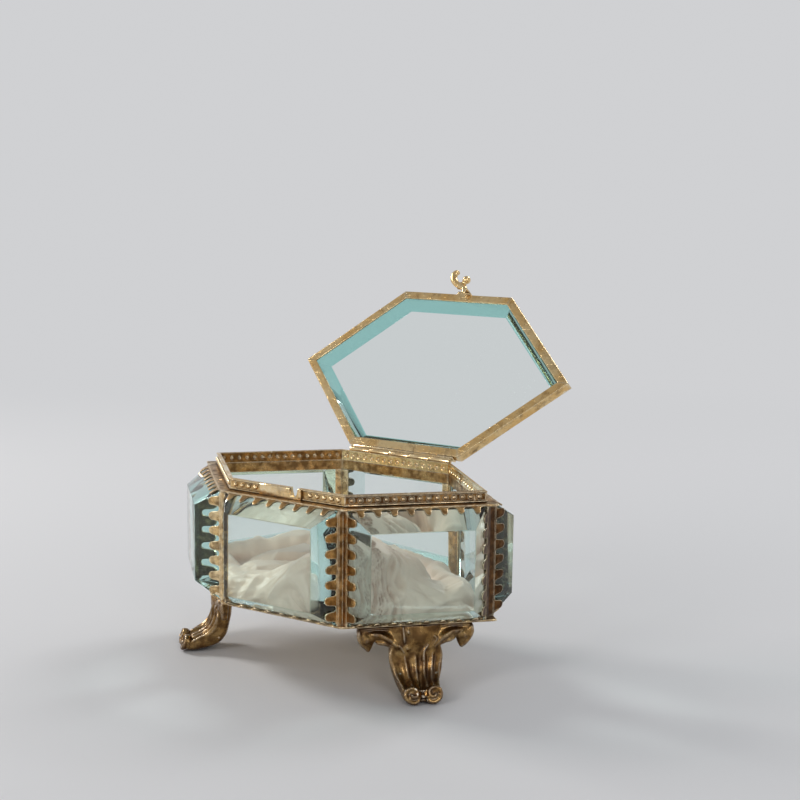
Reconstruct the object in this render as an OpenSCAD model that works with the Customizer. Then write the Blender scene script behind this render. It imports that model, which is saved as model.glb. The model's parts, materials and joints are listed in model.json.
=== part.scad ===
// Hexagonal glass jewellery casket: thick bevelled panes held in scalloped brass
// rails and posts, a beaded gallery, a hinged bevelled lid, a thumb clasp and
// three cast feet. Millimetres, +Z up, front towards -Y, origin on the table
// under the middle of the body. The lid is drawn open, resting on its stop.

/* [Body] */
// Length of each of the six sides, along the rim
side_len = 38; // [32:0.5:46]
// Height of the body, from the underside of the lower rails to the rim
body_h = 35.1; // [30:0.1:42]
// Height of the beaded gallery above the ledge
gallery_h = 3.1; // [2.7:0.05:4]
// Reach of the ledge outwards from the rim line
ledge_w = 2.95; // [2.8:0.05:3.6]
// Reach of the lower rail inwards, under the base plate
shelf_w = 3; // [2:0.1:5]
// Thickness of the base plate
base_t = 0.8; // [0.5:0.1:1.5]

/* [Sheet brass] */
// Thickness of the rails and posts
sheet_t = 0.6; // [0.4:0.05:0.8]
// Thickness of the scalloped tabs
tab_t = 0.5; // [0.3:0.05:0.7]
// Height of the band inside the panes, below the ledge
band_h = 2.4; // [1.5:0.1:4]
// Height of the lip inside the panes, above the lower rail
lip_h = 2.3; // [1.5:0.1:4]
// Width of each inner flange of a corner post
flange_w = 2.3; // [1.5:0.1:3.5]

/* [Panes] */
// Thickness of the front and back panes at the face
pane_t = 8.7; // [7:0.1:9]
// Extra thickness of the four slanting side panes
side_extra_t = 0.8; // [0:0.1:1.2]
// Thickness of a pane at its edges
pane_edge_t = 2.7; // [2:0.1:2.75]
// Width of the front pane's bevel, measured across the pane
pane_bevel_w = 4; // [3:0.1:4.6]
// Distance from the corner line to the side of a pane
pane_side_gap = 0.6; // [0.5:0.05:1]

/* [Scalloped tabs] */
// Tabs along each flange of a post
post_tabs = 7; // [5:1:8]
// Reach of the post tabs up the bevel
post_tab_reach = 3.4; // [2.8:0.1:3.7]
// Radius of the rounded tips of the post tabs
post_tip_r = 1.1; // [0.7:0.05:1.2]
// Tabs along each rail
rail_tabs = 8; // [6:1:9]
// Reach of the rail tabs over the bevel
rail_tab_reach = 2.9; // [2.4:0.1:3.2]
// Radius of the tips of the rail tabs
rail_tip_r = 0.7; // [0.4:0.05:0.9]
// Width of the plain strip between the fold and the scallops
tab_root = 0.25; // [0.1:0.05:0.4]

/* [Gallery] */
// Thickness of the gallery strip
gallery_t = 0.8; // [0.6:0.05:1.1]
// Beads along each side
beads = 16; // [12:1:18]
// Diameter of a bead
bead_d = 1.4; // [1:0.05:1.6]
// Depth of the dimple behind each bead
dimple_depth = 0.35; // [0.15:0.05:0.45]
// Height of the two plain mouldings that edge the beads
moulding_h = 0.5; // [0.3:0.05:0.7]
// Reach of the mouldings outwards
moulding_w = 0.35; // [0.2:0.05:0.5]

/* [Strike plate] */
// Left end of the plate, from the middle of the front
strike_left = -8.3; // [-12:0.1:-5]
// Right end of the plate
strike_right = 5.4; // [5:0.1:9]
// Thickness of the plate in front of the mouldings
strike_t = 0.55; // [0.4:0.05:0.7]
// Width of the catch notch at the rim
notch_w = 2.6; // [2.4:0.1:3.4]
// Depth of the catch notch
notch_depth = 2.3; // [2:0.1:2.5]

/* [Feet] */
// Height of the feet
foot_h = 18.6; // [16:0.1:22]
// Width across the leaf wings
wing_w = 31.4; // [26:0.2:34]
// Drop of the drooping wing tips
wing_drop = 7; // [5:0.1:8]
// Thickness of the leaf wings
wing_t = 2.6; // [1.6:0.1:3.5]
// Width of the leg where it leaves the wings
leg_top_w = 14; // [11:0.2:16]
// Width of the leg above the toes
leg_foot_w = 10.6; // [9:0.2:12]
// Thickness of the leg from back to front
leg_t = 4.2; // [3.4:0.1:5]
// Reach of the toes from the back of the leg
toe_reach = 12.6; // [11.5:0.1:14]
// Radius of the sweep at the back of the leg
sweep_r = 6.6; // [5.5:0.1:7]
// Radius of the scrolled toes
scroll_r = 2.6; // [2:0.05:2.8]
// Height of the scrolls' undersides above the soles
scroll_lift = 0.12; // [0.05:0.01:0.4]
// Height of the fluted ribs on the front of the leg
rib_h = 0.6; // [0.3:0.05:0.9]
// Ribs across the leg
ribs = 5; // [3:1:6]

/* [Lid] */
// Angle to which the lid opens
open_angle = 124.9; // [100:0.1:130]
// Overhang of the lid frame beyond the rim line
lid_over = 0.5; // [0.4:0.05:0.7]
// Thickness of the lid frame's wall
lid_wall_t = 0.6; // [0.4:0.05:0.8]
// Height of the lid frame's wall
lid_wall_h = 3.2; // [2.9:0.1:4]
// Thickness of the lip under the lid glass
lid_lip_t = 0.6; // [0.4:0.05:0.8]
// Width of the lip under the lid glass, inwards from the rim line
lid_lip_w = 2; // [1.4:0.1:3]
// Thickness of the lid glass
lid_pane_t = 6; // [5:0.1:7]
// Thickness of the lid glass at its edges
lid_pane_edge_t = 2.2; // [1.8:0.1:2.3]
// Width of the lid glass's bevel
lid_bevel_w = 4.3; // [3.5:0.1:5]

/* [Hinge] */
// Length of the hinge
hinge_len = 35; // [28:0.5:36]
// Knuckles along the hinge, the body's at both ends
knuckles = 5; // [3:2:7]
// Diameter of a knuckle
knuckle_d = 2; // [1.8:0.05:2.2]
// Diameter of the pin
pin_d = 1; // [0.8:0.05:1.1]
// Distance of the pin outwards from the rim line
hinge_out = 2.4; // [2.3:0.05:2.6]
// Distance of the pin below the rim
hinge_below = 0.15; // [0.1:0.05:0.3]
// Thickness of the hinge leaves
leaf_t = 0.6; // [0.4:0.05:0.8]
// Height of the lid's leaf on the lid frame
leaf_h = 2.6; // [1.8:0.1:2.8]

/* [Clasp] */
// Distance of the clasp from the middle of the front
clasp_x = 3; // [2.4:0.1:3.2]
// Distance of the clasp's neck to the left of its nib
clasp_shift = 1.8; // [0:0.1:2.2]
// Width of the clasp's neck at its foot
clasp_w = 3.2; // [2.4:0.1:4]
// Diameter of the berry beside the scroll
berry_d = 2.7; // [2:0.1:3]
// Reach of the berry's middle from the clasp's foot
berry_out = 4.9; // [4:0.1:5.4]
// Reach of the scroll's middle from the clasp's foot
curl_out = 6; // [5.4:0.1:6.6]
// Distance of the scroll's middle to the left of the clasp's middle
curl_side = 2.5; // [2:0.1:3]
// Mean radius of the scroll
curl_r = 3; // [2.6:0.1:3.4]
// Thickness of the scroll
curl_t = 1.8; // [1:0.1:2]
// Height of the scroll
curl_h = 2; // [1.4:0.1:2.4]
// Width of the nib that drops into the notch
nib_w = 1.2; // [0.8:0.1:1.4]

/* [Silk] */
// Height of the pad above the base plate
silk_h = 7; // [5:0.5:10]
// Height of the heap in the front right corner above the base plate
heap_h = 22; // [14:0.5:25]
// Radius of the heap's rounded top
heap_r = 8; // [5:0.5:9]
// Height at which the folds from the heap end above the base plate
fold_h = 9; // [6:0.5:12]
// Radius of the rounded folds
fold_r = 6.5; // [4:0.5:8]

/* [Clearances] */
// Gap where brass lies against glass
bed = 0.05; // [0.02:0.01:0.1]
// Gap at the mitres and between seated brass pieces
seat = 0.02; // [0.01:0.01:0.05]
// Gap under the closed lid
lid_gap = 0.1; // [0.05:0.01:0.2]
// Gap between neighbouring knuckles
knuckle_gap = 0.15; // [0.1:0.01:0.3]
// Radial gap around the hinge pin
pin_gap = 0.05; // [0.03:0.01:0.08]
// Gap around the clasp where it passes the rim
clasp_gap = 0.3; // [0.2:0.05:0.4]
// Gap around the silk
silk_gap = 0.3; // [0.2:0.05:1]

/* [Hidden] */

gilt = "goldenrod";
worn_gilt = "darkgoldenrod";
cast_brass = "peru";
clear_glass = [0.75, 0.88, 0.86, 0.5];
cream_silk = "linen";
arc_steps = 6;
round_fn = 48;
overlap = 0.3;

// The plan is a hexagon of six equal sides. Side k runs from corner k to
// corner k + 1; side 0 is the front and the sides go anticlockwise.
SIDE_ANGLE = [0, 45, 135, 180, 225, 315];
CORNER_TURN = [45, 45, 90, 45, 45, 90];
FRONT = 0;
FRONT_RIGHT = 1;
BACK_RIGHT = 2;
BACK = 3;
BACK_LEFT = 4;
FRONT_LEFT = 5;
half_depth = side_len * sin(45);
function corner(k) = [-side_len / 2, -half_depth] + side_len
    * ([for (i = [0 : 5]) i < k ? 1 : 0] * [for (a = SIDE_ANGLE) [cos(a), sin(a)]]);
function side_middle(k) = (corner(k) + corner((k + 1) % 6)) / 2;
function half_turn(k) = CORNER_TURN[k % 6] / 2;
function arc(centre, rx, ry, from, to, steps = arc_steps) = [
    for (i = [0 : steps]) let (a = from + (to - from) * i / steps)
        centre + [rx * cos(a), ry * sin(a)]
];

// Heights
body_z = foot_h;
rim_z = body_z + body_h;
ledge_z = rim_z - gallery_h;
pane_bottom = body_z + sheet_t + bed;
pane_top = ledge_z - sheet_t - bed;
pane_mid = (pane_bottom + pane_top) / 2;
base_z = body_z + sheet_t + bed;
silk_z = base_z + base_t + bed;
lid_z = rim_z + lid_gap;
hinge_y = half_depth + hinge_out;
hinge_z = rim_z - hinge_below;

// Slope of the pane's bevel, from the plane of the pane
bevel_a = atan2(pane_t - pane_edge_t, pane_bevel_w);
inner_reach = sheet_t + bed;

// ---- placing ----

module on_side(k) {
    m = side_middle(k);
    translate([m[0], m[1], 0]) rotate([0, 0, SIDE_ANGLE[k]]) children();
}

module at_corner(k) {
    c = corner(k);
    translate([c[0], c[1], 0]) rotate([0, 0, SIDE_ANGLE[k] - half_turn(k)]) children();
}

// Turns the closed lid back to where it rests
module opened() {
    translate([0, hinge_y, hinge_z]) rotate([-open_angle, 0, 0])
        translate([0, -hinge_y, -hinge_z]) children();
}

// ---- outlines ----

// A strip along side k between two offsets from the rim line, with mitred ends
module strip(k, inner, outer, z, h) {
    l = tan(half_turn(k));
    r = tan(half_turn(k + 1));
    half = side_len / 2 - seat;
    translate([0, 0, z]) linear_extrude(h) polygon([
        [-half - inner * l, -inner], [half + inner * r, -inner],
        [half + outer * r, -outer], [-half - outer * l, -outer]
    ]);
}

// The plan hexagon moved outwards by a distance
function hexagon(out) = [
    for (k = [0 : 5])
        corner(k) + out / cos(half_turn(k)) * [
            sin(SIDE_ANGLE[k] - half_turn(k)), -cos(SIDE_ANGLE[k] - half_turn(k))
        ]
];

module plate(out, z, h) {
    translate([0, 0, z]) linear_extrude(h) polygon(hexagon(out));
}

// Outline of a scalloped edge: [distance along, distance up the bevel]
function scallops(count, length, tip, reach) =
    let (
        pitch = length / count,
        tip_r = min(tip, pitch * 0.4),
        valley_r = pitch / 2 - tip_r,
        valley_h = min(valley_r, (reach - tip_r - tab_root) * 0.9),
        end = length / 2 + overlap
    )
    concat(
        [[-end, -tab_t], [end, -tab_t], [end, tab_root]],
        [for (i = [count - 1 : -1 : 0]) let (x = (i - (count - 1) / 2) * pitch)
            each concat(
                arc([x + pitch / 2, tab_root + valley_h], valley_r, valley_h, -90, -180, 3),
                arc([x, reach - tip_r], tip_r, tip_r, 0, 180),
                arc([x - pitch / 2, tab_root + valley_h], valley_r, valley_h, 0, -85, 3)
            )],
        [[-end, tab_root]]
    );

// ---- body ----

module base_plate() {
    color(worn_gilt) plate(-inner_reach - 2 * bed, base_z, base_t);
}

// A rounded rise of the silk over a point of the plan
module silk_rise(at, r, h) {
    translate([at[0], at[1], silk_z + h - r]) sphere(r = r, $fn = 20);
    translate([at[0], at[1], silk_z]) cylinder(r = r, h = 1, $fn = 20);
}

// The silk: a pad, and a heap in the front right corner with three folds that
// run down from it to the front left corner, the right corner and the middle
module silk_lining() {
    wall = inner_reach + silk_gap;
    ends = [hexagon(-wall - fold_r)[0], hexagon(-wall - fold_r)[2], [0, 0]];
    color(cream_silk) intersection() {
        plate(-wall, silk_z, heap_h);
        union() {
            hull() {
                plate(-wall, silk_z, silk_h * 0.6);
                plate(-wall - silk_h * 0.4, silk_z, silk_h);
            }
            for (end = ends) hull() {
                silk_rise(hexagon(-wall - heap_r)[1], heap_r, heap_h);
                silk_rise(end, fold_r, fold_h);
            }
        }
    }
}

// One bevelled pane, as the overlap of its plan and its upright section
module pane(k) {
    half = side_len / 2 - pane_side_gap;
    face_t = pane_t + (k == FRONT || k == BACK ? 0 : side_extra_t);
    bevel_w = (face_t - pane_edge_t) / tan(bevel_a);
    color(clear_glass) on_side(k) intersection() {
        translate([0, 0, pane_bottom]) linear_extrude(pane_top - pane_bottom) polygon([
            [-half, 0], [-half, -pane_edge_t], [-half + bevel_w, -face_t],
            [half - bevel_w, -face_t], [half, -pane_edge_t], [half, 0]
        ]);
        rotate([90, 0, 90]) translate([0, 0, -half - 1]) linear_extrude(2 * half + 2) polygon([
            [0, pane_bottom], [0, pane_top], [-pane_edge_t, pane_top],
            [-face_t, pane_top - bevel_w], [-face_t, pane_bottom + bevel_w],
            [-pane_edge_t, pane_bottom]
        ]);
    }
}

// Scalloped tabs along a rail, lying on the bevel from an edge of the pane at height z
module rail_tabs_at(z, flip) {
    length = side_len - 2 * pane_side_gap - 4 * overlap;
    intersection() {
        translate([0, -pane_edge_t, z]) mirror([0, 0, flip]) rotate([90 - bevel_a, 0, 0])
            translate([0, 0, bed]) linear_extrude(tab_t) polygon([
                for (p = scallops(rail_tabs, length, rail_tip_r, rail_tab_reach)) [p[0], -p[1]]
            ]);
        translate([-side_len / 2, -2 * pane_t, body_z])
            cube([side_len, 2 * pane_t, ledge_z - body_z]);
    }
}

module upper_rail(k) {
    color(worn_gilt) on_side(k) {
        strip(k, -inner_reach, ledge_w, ledge_z - sheet_t, sheet_t);
        strip(k, -inner_reach, -bed, ledge_z - sheet_t - band_h, sheet_t + band_h);
        rail_tabs_at(pane_top, 0);
    }
}

module lower_rail(k) {
    color(worn_gilt) on_side(k) {
        strip(k, -shelf_w, ledge_w, body_z, sheet_t);
        strip(k, -inner_reach, -bed, body_z, sheet_t + lip_h);
        rail_tabs_at(pane_bottom, 1);
    }
}

// Point in a corner's frame, from distances along and out of the side on its right
function off_side(h, along, out) =
    along * [cos(h), sin(h)] + out * [sin(h), -cos(h)];

// A folded corner post: web between two panes, flanges inside, tabs outside
module post(k) {
    h = half_turn(k);
    web = pane_side_gap - bed;
    skin = bed + tab_t;
    fold = [pane_side_gap - skin * sin(bevel_a), pane_edge_t + skin * cos(bevel_a)];
    // where the two tab planes meet on the corner's line
    run = (fold[0] * cos(h) + fold[1] * sin(h)) / cos(bevel_a - h);
    crease = off_side(h, fold[0] - run * cos(bevel_a), fold[1] - run * sin(bevel_a));
    inner_end = off_side(h, web, 0);
    outer_end = off_side(h, web, pane_edge_t);
    fold_end = off_side(h, fold[0], fold[1]);
    low = body_z + sheet_t + lip_h + bed;
    high = ledge_z - sheet_t - band_h - bed;
    length = pane_top - pane_bottom - 4 * overlap;
    color(gilt) at_corner(k) {
        translate([0, 0, pane_bottom]) linear_extrude(pane_top - pane_bottom) polygon([
            [0, 0], inner_end, outer_end, fold_end, crease,
            [-fold_end[0], fold_end[1]], [-outer_end[0], outer_end[1]],
            [-inner_end[0], inner_end[1]]
        ]);
        for (side = [0, 1]) mirror([side, 0, 0]) {
            translate([0, 0, low]) linear_extrude(high - low) polygon([
                [0, 0], inner_end, off_side(h, web, -bed), off_side(h, flange_w, -bed),
                off_side(h, flange_w, -inner_reach), [0, inner_reach / cos(h)]
            ]);
            start = off_side(h, pane_side_gap - bed * sin(bevel_a),
                             pane_edge_t + bed * cos(bevel_a));
            translate([start[0], start[1], pane_mid]) rotate([0, 0, h - bevel_a])
                rotate([90, 0, 0]) linear_extrude(tab_t) polygon([
                    for (p = scallops(post_tabs, length, post_tip_r, post_tab_reach))
                        [p[1], p[0]]
                ]);
        }
    }
}

// ---- gallery ----

bead_pitch = side_len * 0.96 / beads;
bead_z = ledge_z + gallery_h / 2;

module catch_notch() {
    translate([clasp_x, 0, rim_z]) rotate([90, 0, 0]) translate([0, 0, -5])
        linear_extrude(10) polygon([
            [-notch_w / 2, 1], [-notch_w / 2, -notch_depth / 3], [-notch_w / 3, -notch_depth],
            [notch_w / 3, -notch_depth], [notch_w / 2, -notch_depth / 3], [notch_w / 2, 1]
        ]);
}

// A strip with a row of raised beads, each with a dimple behind it
module gallery(k) {
    places = [for (i = [0 : beads - 1]) (i - (beads - 1) / 2) * bead_pitch];
    clear_low = strike_left - bead_d / 2;
    clear_high = strike_right + bead_d / 2;
    shown = [for (x = places) if (k != FRONT || x < clear_low || x > clear_high) x];
    dimple_r = bead_d * 0.42;
    color(gilt) on_side(k) difference() {
        union() {
            strip(k, -gallery_t, 0, ledge_z, gallery_h);
            strip(k, -gallery_t / 2, moulding_w, rim_z - moulding_h, moulding_h);
            strip(k, -gallery_t / 2, moulding_w, ledge_z, moulding_h);
            intersection() {
                for (x = shown) translate([x, 0, bead_z]) sphere(d = bead_d, $fn = round_fn);
                strip(k, -gallery_t / 2, bead_d, ledge_z, gallery_h);
            }
        }
        for (x = shown) translate([x, gallery_t + dimple_r - dimple_depth, bead_z])
            sphere(r = dimple_r, $fn = round_fn);
        if (k == FRONT) catch_notch();
    }
}

module strike_plate() {
    out = moulding_w + seat;
    color(gilt) on_side(FRONT) difference() {
        rotate([90, 0, 90]) translate([0, 0, strike_left])
            linear_extrude(strike_right - strike_left) polygon([
                [-seat, ledge_z + moulding_h + seat], [-out, ledge_z + moulding_h + seat],
                [-out, ledge_z + seat], [-out - strike_t, ledge_z + seat],
                [-out - strike_t, rim_z - strike_t / 2], [-out - strike_t / 2, rim_z],
                [-out, rim_z], [-out, rim_z - moulding_h - seat],
                [-seat, rim_z - moulding_h - seat]
            ]);
        catch_notch();
    }
}

// ---- feet ----

// Side view of the leg: [distance out, height], its front set back by some depth
function leg_profile(inset) =
    let (
        top_z = body_z - seat,
        front_r = 5,
        front_n = leg_t - inset,
        toe_top = 5.1 - inset
    )
    concat(
        [[0, top_z]],
        arc([sweep_r, sweep_r], sweep_r, sweep_r, 180, 270, 8),
        [[toe_reach - 1.4, 0]],
        arc([toe_reach - 1.4, 1.4], 1.4, 1.4, -60, 30, 4),
        [[toe_reach - 1.1, 3.2 - inset]],
        arc([front_n + front_r, toe_top + front_r], front_r, front_r, 250, 180, 6),
        [[front_n, top_z]]
    );

// Front view of one half of the leg, between the toes' gap and its outer edge
function leg_half() = [
    [0, body_z], [leg_top_w / 2, body_z], [leg_top_w / 2, body_z * 0.66],
    [leg_top_w * 0.43, body_z * 0.33], [leg_foot_w / 2, scroll_r],
    [leg_foot_w / 2 - 0.5, 0], [0.4, 0], [0.4, 1.2], [0, 2.6]
];

// Front view of one half of the drooping leaf wings
function wing_half() =
    let (w = wing_w / 2, z = body_z - seat, d = wing_drop)
    concat(
        [[0, z], [w, z], [w + 0.1, z - d * 0.2], [w - 0.7, z - d * 0.55],
         [w - 1.7, z - d * 0.88], [w - 2.6, z - d]],
        arc([w - 5.2, z - d - 0.6], 2.2, 1.8, 30, 150, 4),
        [[leg_top_w / 2, z - d * 0.88], [0, z - d]]
    );

function mirrored(points) = concat(
    points, [for (i = [len(points) - 1 : -1 : 0]) [-points[i][0], points[i][1]]]
);

module across(from, to, points) {
    rotate([90, 0, 90]) translate([0, 0, from]) linear_extrude(to - from)
        polygon([for (p = points) [-p[0], p[1]]]);
}

module facing(from, to, points) {
    translate([0, -from, 0]) rotate([90, 0, 0]) linear_extrude(to - from) polygon(points);
}

// A cast cabriole foot: leaf wings, a ribbed leg and two scrolled toes
module foot(k) {
    half = leg_top_w / 2;
    rib_pitch = leg_top_w / ribs;
    color(cast_brass) on_side(k) {
        intersection() {
            union() {
                across(-half, half, leg_profile(rib_h));
                for (i = [0 : ribs - 1])
                    across(-half + (i + 0.15) * rib_pitch, -half + (i + 0.85) * rib_pitch,
                           leg_profile(0));
            }
            facing(-1, toe_reach + 1, mirrored(leg_half()));
        }
        facing(0.2, 0.2 + wing_t, mirrored(wing_half()));
        for (s = [-1, 1]) translate([s * (leg_foot_w / 4 + 0.2), 0, scroll_r + scroll_lift]) {
            rotate([90, 0, 0]) translate([0, 0, toe_reach - 4.4])
                cylinder(r = scroll_r, h = 4, $fn = round_fn);
            rotate([90, 0, 0]) translate([0, 0, toe_reach - 0.6])
                cylinder(r1 = scroll_r * 0.5, r2 = scroll_r * 0.35, h = 0.5, $fn = round_fn);
        }
    }
}

// ---- hinge ----

knuckle_len = (hinge_len - (knuckles - 1) * knuckle_gap) / knuckles;
function knuckle_start(i) = -hinge_len / 2 + i * (knuckle_len + knuckle_gap);

module along_pin(x, length, d) {
    translate([x, hinge_y, hinge_z]) rotate([0, 90, 0]) cylinder(d = d, h = length, $fn = round_fn);
}

module pin_bore() {
    along_pin(-hinge_len / 2 - 1, hinge_len + 2, pin_d + 2 * pin_gap);
}

// Upright leaf on the ledge, with the body's knuckles along its top
module hinge_leaf_body() {
    foot_z = ledge_z + seat;
    low_h = hinge_z - knuckle_d / 2 - clasp_gap - foot_z;
    color(gilt) difference() {
        union() {
            translate([-hinge_len / 2, hinge_y - leaf_t / 2, foot_z])
                cube([hinge_len, leaf_t, low_h]);
            for (i = [0 : 2 : knuckles - 1]) {
                along_pin(knuckle_start(i), knuckle_len, knuckle_d);
                translate([knuckle_start(i), hinge_y - leaf_t / 2, foot_z])
                    cube([knuckle_len, leaf_t, hinge_z - foot_z]);
            }
        }
        pin_bore();
    }
}

module hinge_pin() {
    color(worn_gilt) along_pin(-hinge_len / 2 - 0.2, hinge_len + 0.4, pin_d);
}

// Leaf on the back of the lid frame, with the lid's knuckles along its foot
module hinge_leaf_lid() {
    wall_y = half_depth + lid_over + seat;
    strap_z = hinge_z + knuckle_d / 2 - leaf_t;
    reach_y = hinge_y - knuckle_d / 2 - clasp_gap;
    color(gilt) opened() difference() {
        union() {
            translate([-hinge_len / 2, wall_y, strap_z]) cube([hinge_len, leaf_t, leaf_h]);
            for (i = [1 : 2 : knuckles - 1]) {
                along_pin(knuckle_start(i), knuckle_len, knuckle_d);
                translate([knuckle_start(i), wall_y, strap_z])
                    cube([knuckle_len, hinge_y - wall_y, leaf_t]);
            }
        }
        pin_bore();
    }
}

// ---- lid ----

// The bevelled hexagonal glass, as the overlap of three bevelled bars
module lid_glass(grow) {
    out = lid_over - lid_wall_t - bed + grow;
    z = lid_z + lid_lip_t + bed - grow;
    edge = lid_pane_edge_t + 2 * grow;
    top = lid_pane_t + 2 * grow;
    // middle of each pair of parallel sides: [turn, half width across]
    BARS = [[0, half_depth + out], [45, (side_len / 2 + half_depth) * sin(45) + out],
            [135, (side_len / 2 + half_depth) * sin(45) + out]];
    reach = 2 * side_len;
    intersection_for (b = BARS) rotate([0, 0, b[0]]) translate([0, 0, z])
        rotate([90, 0, 90]) translate([0, 0, -reach]) linear_extrude(2 * reach) polygon([
            [-b[1], 0], [b[1], 0], [b[1], edge], [b[1] - lid_bevel_w, top],
            [-b[1] + lid_bevel_w, top], [-b[1], edge]
        ]);
}

module lid_pane() {
    color(clear_glass) opened() lid_glass(0);
}

// A channel around the glass: wall, lip under it and a lip over the bevel's foot
module lid_frame() {
    color(gilt) opened() difference() {
        plate(lid_over, lid_z, lid_wall_h);
        plate(-lid_lip_w, lid_z - 1, lid_wall_h + 2);
        lid_glass(bed);
    }
}

// ---- clasp ----

// Foot on the lid's wall, nib for the notch, berry and side scroll for the finger
module clasp() {
    wall_n = lid_over + seat;
    hook_n = moulding_w + seat + strike_t + clasp_gap;
    neck_n = hook_n + sheet_t;
    curl_z = lid_z + lid_wall_h / 2;
    nib_z = rim_z - notch_depth + 0.4;
    curl_edge = curl_r + curl_t / 2;
    foot_left = -clasp_shift - clasp_w / 2;
    far = 3 * curl_r;
    color(gilt) opened() translate([clasp_x, -half_depth, 0]) {
        // foot
        translate([foot_left, -neck_n, lid_z + 0.2])
            cube([nib_w / 2 + 0.3 - foot_left, neck_n - wall_n, lid_wall_h - 0.4]);
        // spring leg and nib
        translate([-nib_w / 2 - 0.3, -neck_n, nib_z])
            cube([nib_w + 0.6, sheet_t, notch_depth + lid_gap]);
        translate([-nib_w / 2, -hook_n - overlap, nib_z])
            cube([nib_w, hook_n + overlap - moulding_w / 2, 0.6]);
        // neck, running out to the scroll
        translate([-clasp_shift, 0, curl_z - curl_h / 2]) linear_extrude(curl_h) polygon([
            [clasp_w / 2, -neck_n + overlap], [-clasp_w / 2, -neck_n + overlap],
            [-curl_side * 0.9, -neck_n - curl_out + curl_edge - 0.1],
            [-curl_side * 0.9, -neck_n - curl_out + curl_edge - curl_t],
            [0, -neck_n - curl_out + curl_r], [clasp_w * 0.4, -neck_n - curl_r * 0.4]
        ]);
        // berry on its stalk
        translate([-clasp_shift - 0.5, -neck_n - berry_out, curl_z]) {
            sphere(d = berry_d, $fn = round_fn);
            rotate([-90, 0, 0]) cylinder(d = 1.1, h = curl_out - curl_r, $fn = round_fn);
        }
        // scroll, open towards the berry
        translate([-clasp_shift - curl_side, -neck_n - curl_out, curl_z - curl_h / 2])
        difference() {
            cylinder(r = curl_edge, h = curl_h, $fn = round_fn);
            translate([0, 0, -1])
                cylinder(r = curl_r - curl_t / 2, h = curl_h + 2, $fn = round_fn);
            translate([0, 0, -1]) linear_extrude(curl_h + 2) polygon([
                [0, 0], far * [cos(75), sin(75)], far * [1, 1], far * [1, -1],
                far * [cos(215), sin(215) * 2], far * [cos(215), sin(215)]
            ]);
        }
    }
}

base_plate();
silk_lining();
pane(FRONT);  // pane_front
pane(FRONT_RIGHT);  // pane_front_right
pane(BACK_RIGHT);  // pane_back_right
pane(BACK);  // pane_back
pane(BACK_LEFT);  // pane_back_left
pane(FRONT_LEFT);  // pane_front_left
post(0);  // post_front_left
post(1);  // post_front_right
post(2);  // post_right
post(3);  // post_back_right
post(4);  // post_back_left
post(5);  // post_left
lower_rail(FRONT);  // lower_rail_front
lower_rail(FRONT_RIGHT);  // lower_rail_front_right
lower_rail(BACK_RIGHT);  // lower_rail_back_right
lower_rail(BACK);  // lower_rail_back
lower_rail(BACK_LEFT);  // lower_rail_back_left
lower_rail(FRONT_LEFT);  // lower_rail_front_left
upper_rail(FRONT);  // upper_rail_front
upper_rail(FRONT_RIGHT);  // upper_rail_front_right
upper_rail(BACK_RIGHT);  // upper_rail_back_right
upper_rail(BACK);  // upper_rail_back
upper_rail(BACK_LEFT);  // upper_rail_back_left
upper_rail(FRONT_LEFT);  // upper_rail_front_left
gallery(FRONT);  // gallery_front
gallery(FRONT_RIGHT);  // gallery_front_right
gallery(BACK_RIGHT);  // gallery_back_right
gallery(BACK);  // gallery_back
gallery(BACK_LEFT);  // gallery_back_left
gallery(FRONT_LEFT);  // gallery_front_left
strike_plate();
foot(FRONT_LEFT);  // foot_front_left
foot(FRONT_RIGHT);  // foot_front_right
foot(BACK);  // foot_back
hinge_leaf_body();
hinge_pin();
hinge_leaf_lid();
lid_frame();
lid_pane();
clasp();
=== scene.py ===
import json
import math

import bmesh
import bpy
import numpy
from bpy.props import FloatProperty, FloatVectorProperty, IntProperty, PointerProperty
from mathutils import Matrix, Vector, noise
from mathutils.bvhtree import BVHTree


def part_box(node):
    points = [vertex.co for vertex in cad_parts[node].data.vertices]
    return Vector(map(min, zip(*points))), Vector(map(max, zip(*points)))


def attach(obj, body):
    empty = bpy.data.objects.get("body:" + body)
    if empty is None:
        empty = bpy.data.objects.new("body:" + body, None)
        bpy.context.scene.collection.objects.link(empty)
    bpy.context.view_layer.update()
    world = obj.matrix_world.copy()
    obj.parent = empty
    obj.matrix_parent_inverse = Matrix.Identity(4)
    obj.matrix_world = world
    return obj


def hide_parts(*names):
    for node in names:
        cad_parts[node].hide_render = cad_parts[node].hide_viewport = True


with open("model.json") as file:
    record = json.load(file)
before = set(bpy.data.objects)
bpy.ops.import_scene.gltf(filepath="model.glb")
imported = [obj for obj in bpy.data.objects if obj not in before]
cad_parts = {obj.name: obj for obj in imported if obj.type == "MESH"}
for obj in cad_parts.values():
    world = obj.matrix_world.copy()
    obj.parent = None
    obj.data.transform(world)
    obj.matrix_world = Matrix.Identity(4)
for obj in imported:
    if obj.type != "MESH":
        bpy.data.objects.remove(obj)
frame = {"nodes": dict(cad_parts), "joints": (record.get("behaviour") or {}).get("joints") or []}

bl_info = {
    "name": "Glass jewellery casket",
    "version": (1, 0, 0),
    "blender": (4, 5, 0),
    "location": "View3D > Sidebar > Casket",
    "description": "Dresses a hexagonal bevelled glass casket in gilt brass and silk",
    "category": "Object",
}

# noise_vector starts from the clock unless it is seeded
noise.seed_set(3)

MM = 0.001
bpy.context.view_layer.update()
HINGE = frame["joints"][0]
SIDES = ("front", "front_right", "back_right", "back", "back_left", "front_left")
CORNERS = ("front_left", "front_right", "right", "back_right", "back_left", "left")
SIDE_ANGLE = (0, 45, 135, 180, 225, 315)
CORNER_TURN = (45, 45, 90, 45, 45, 90)
FOOT_SIDES = ((5, "foot_front_left"), (1, "foot_front_right"), (3, "foot_back"))

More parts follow.
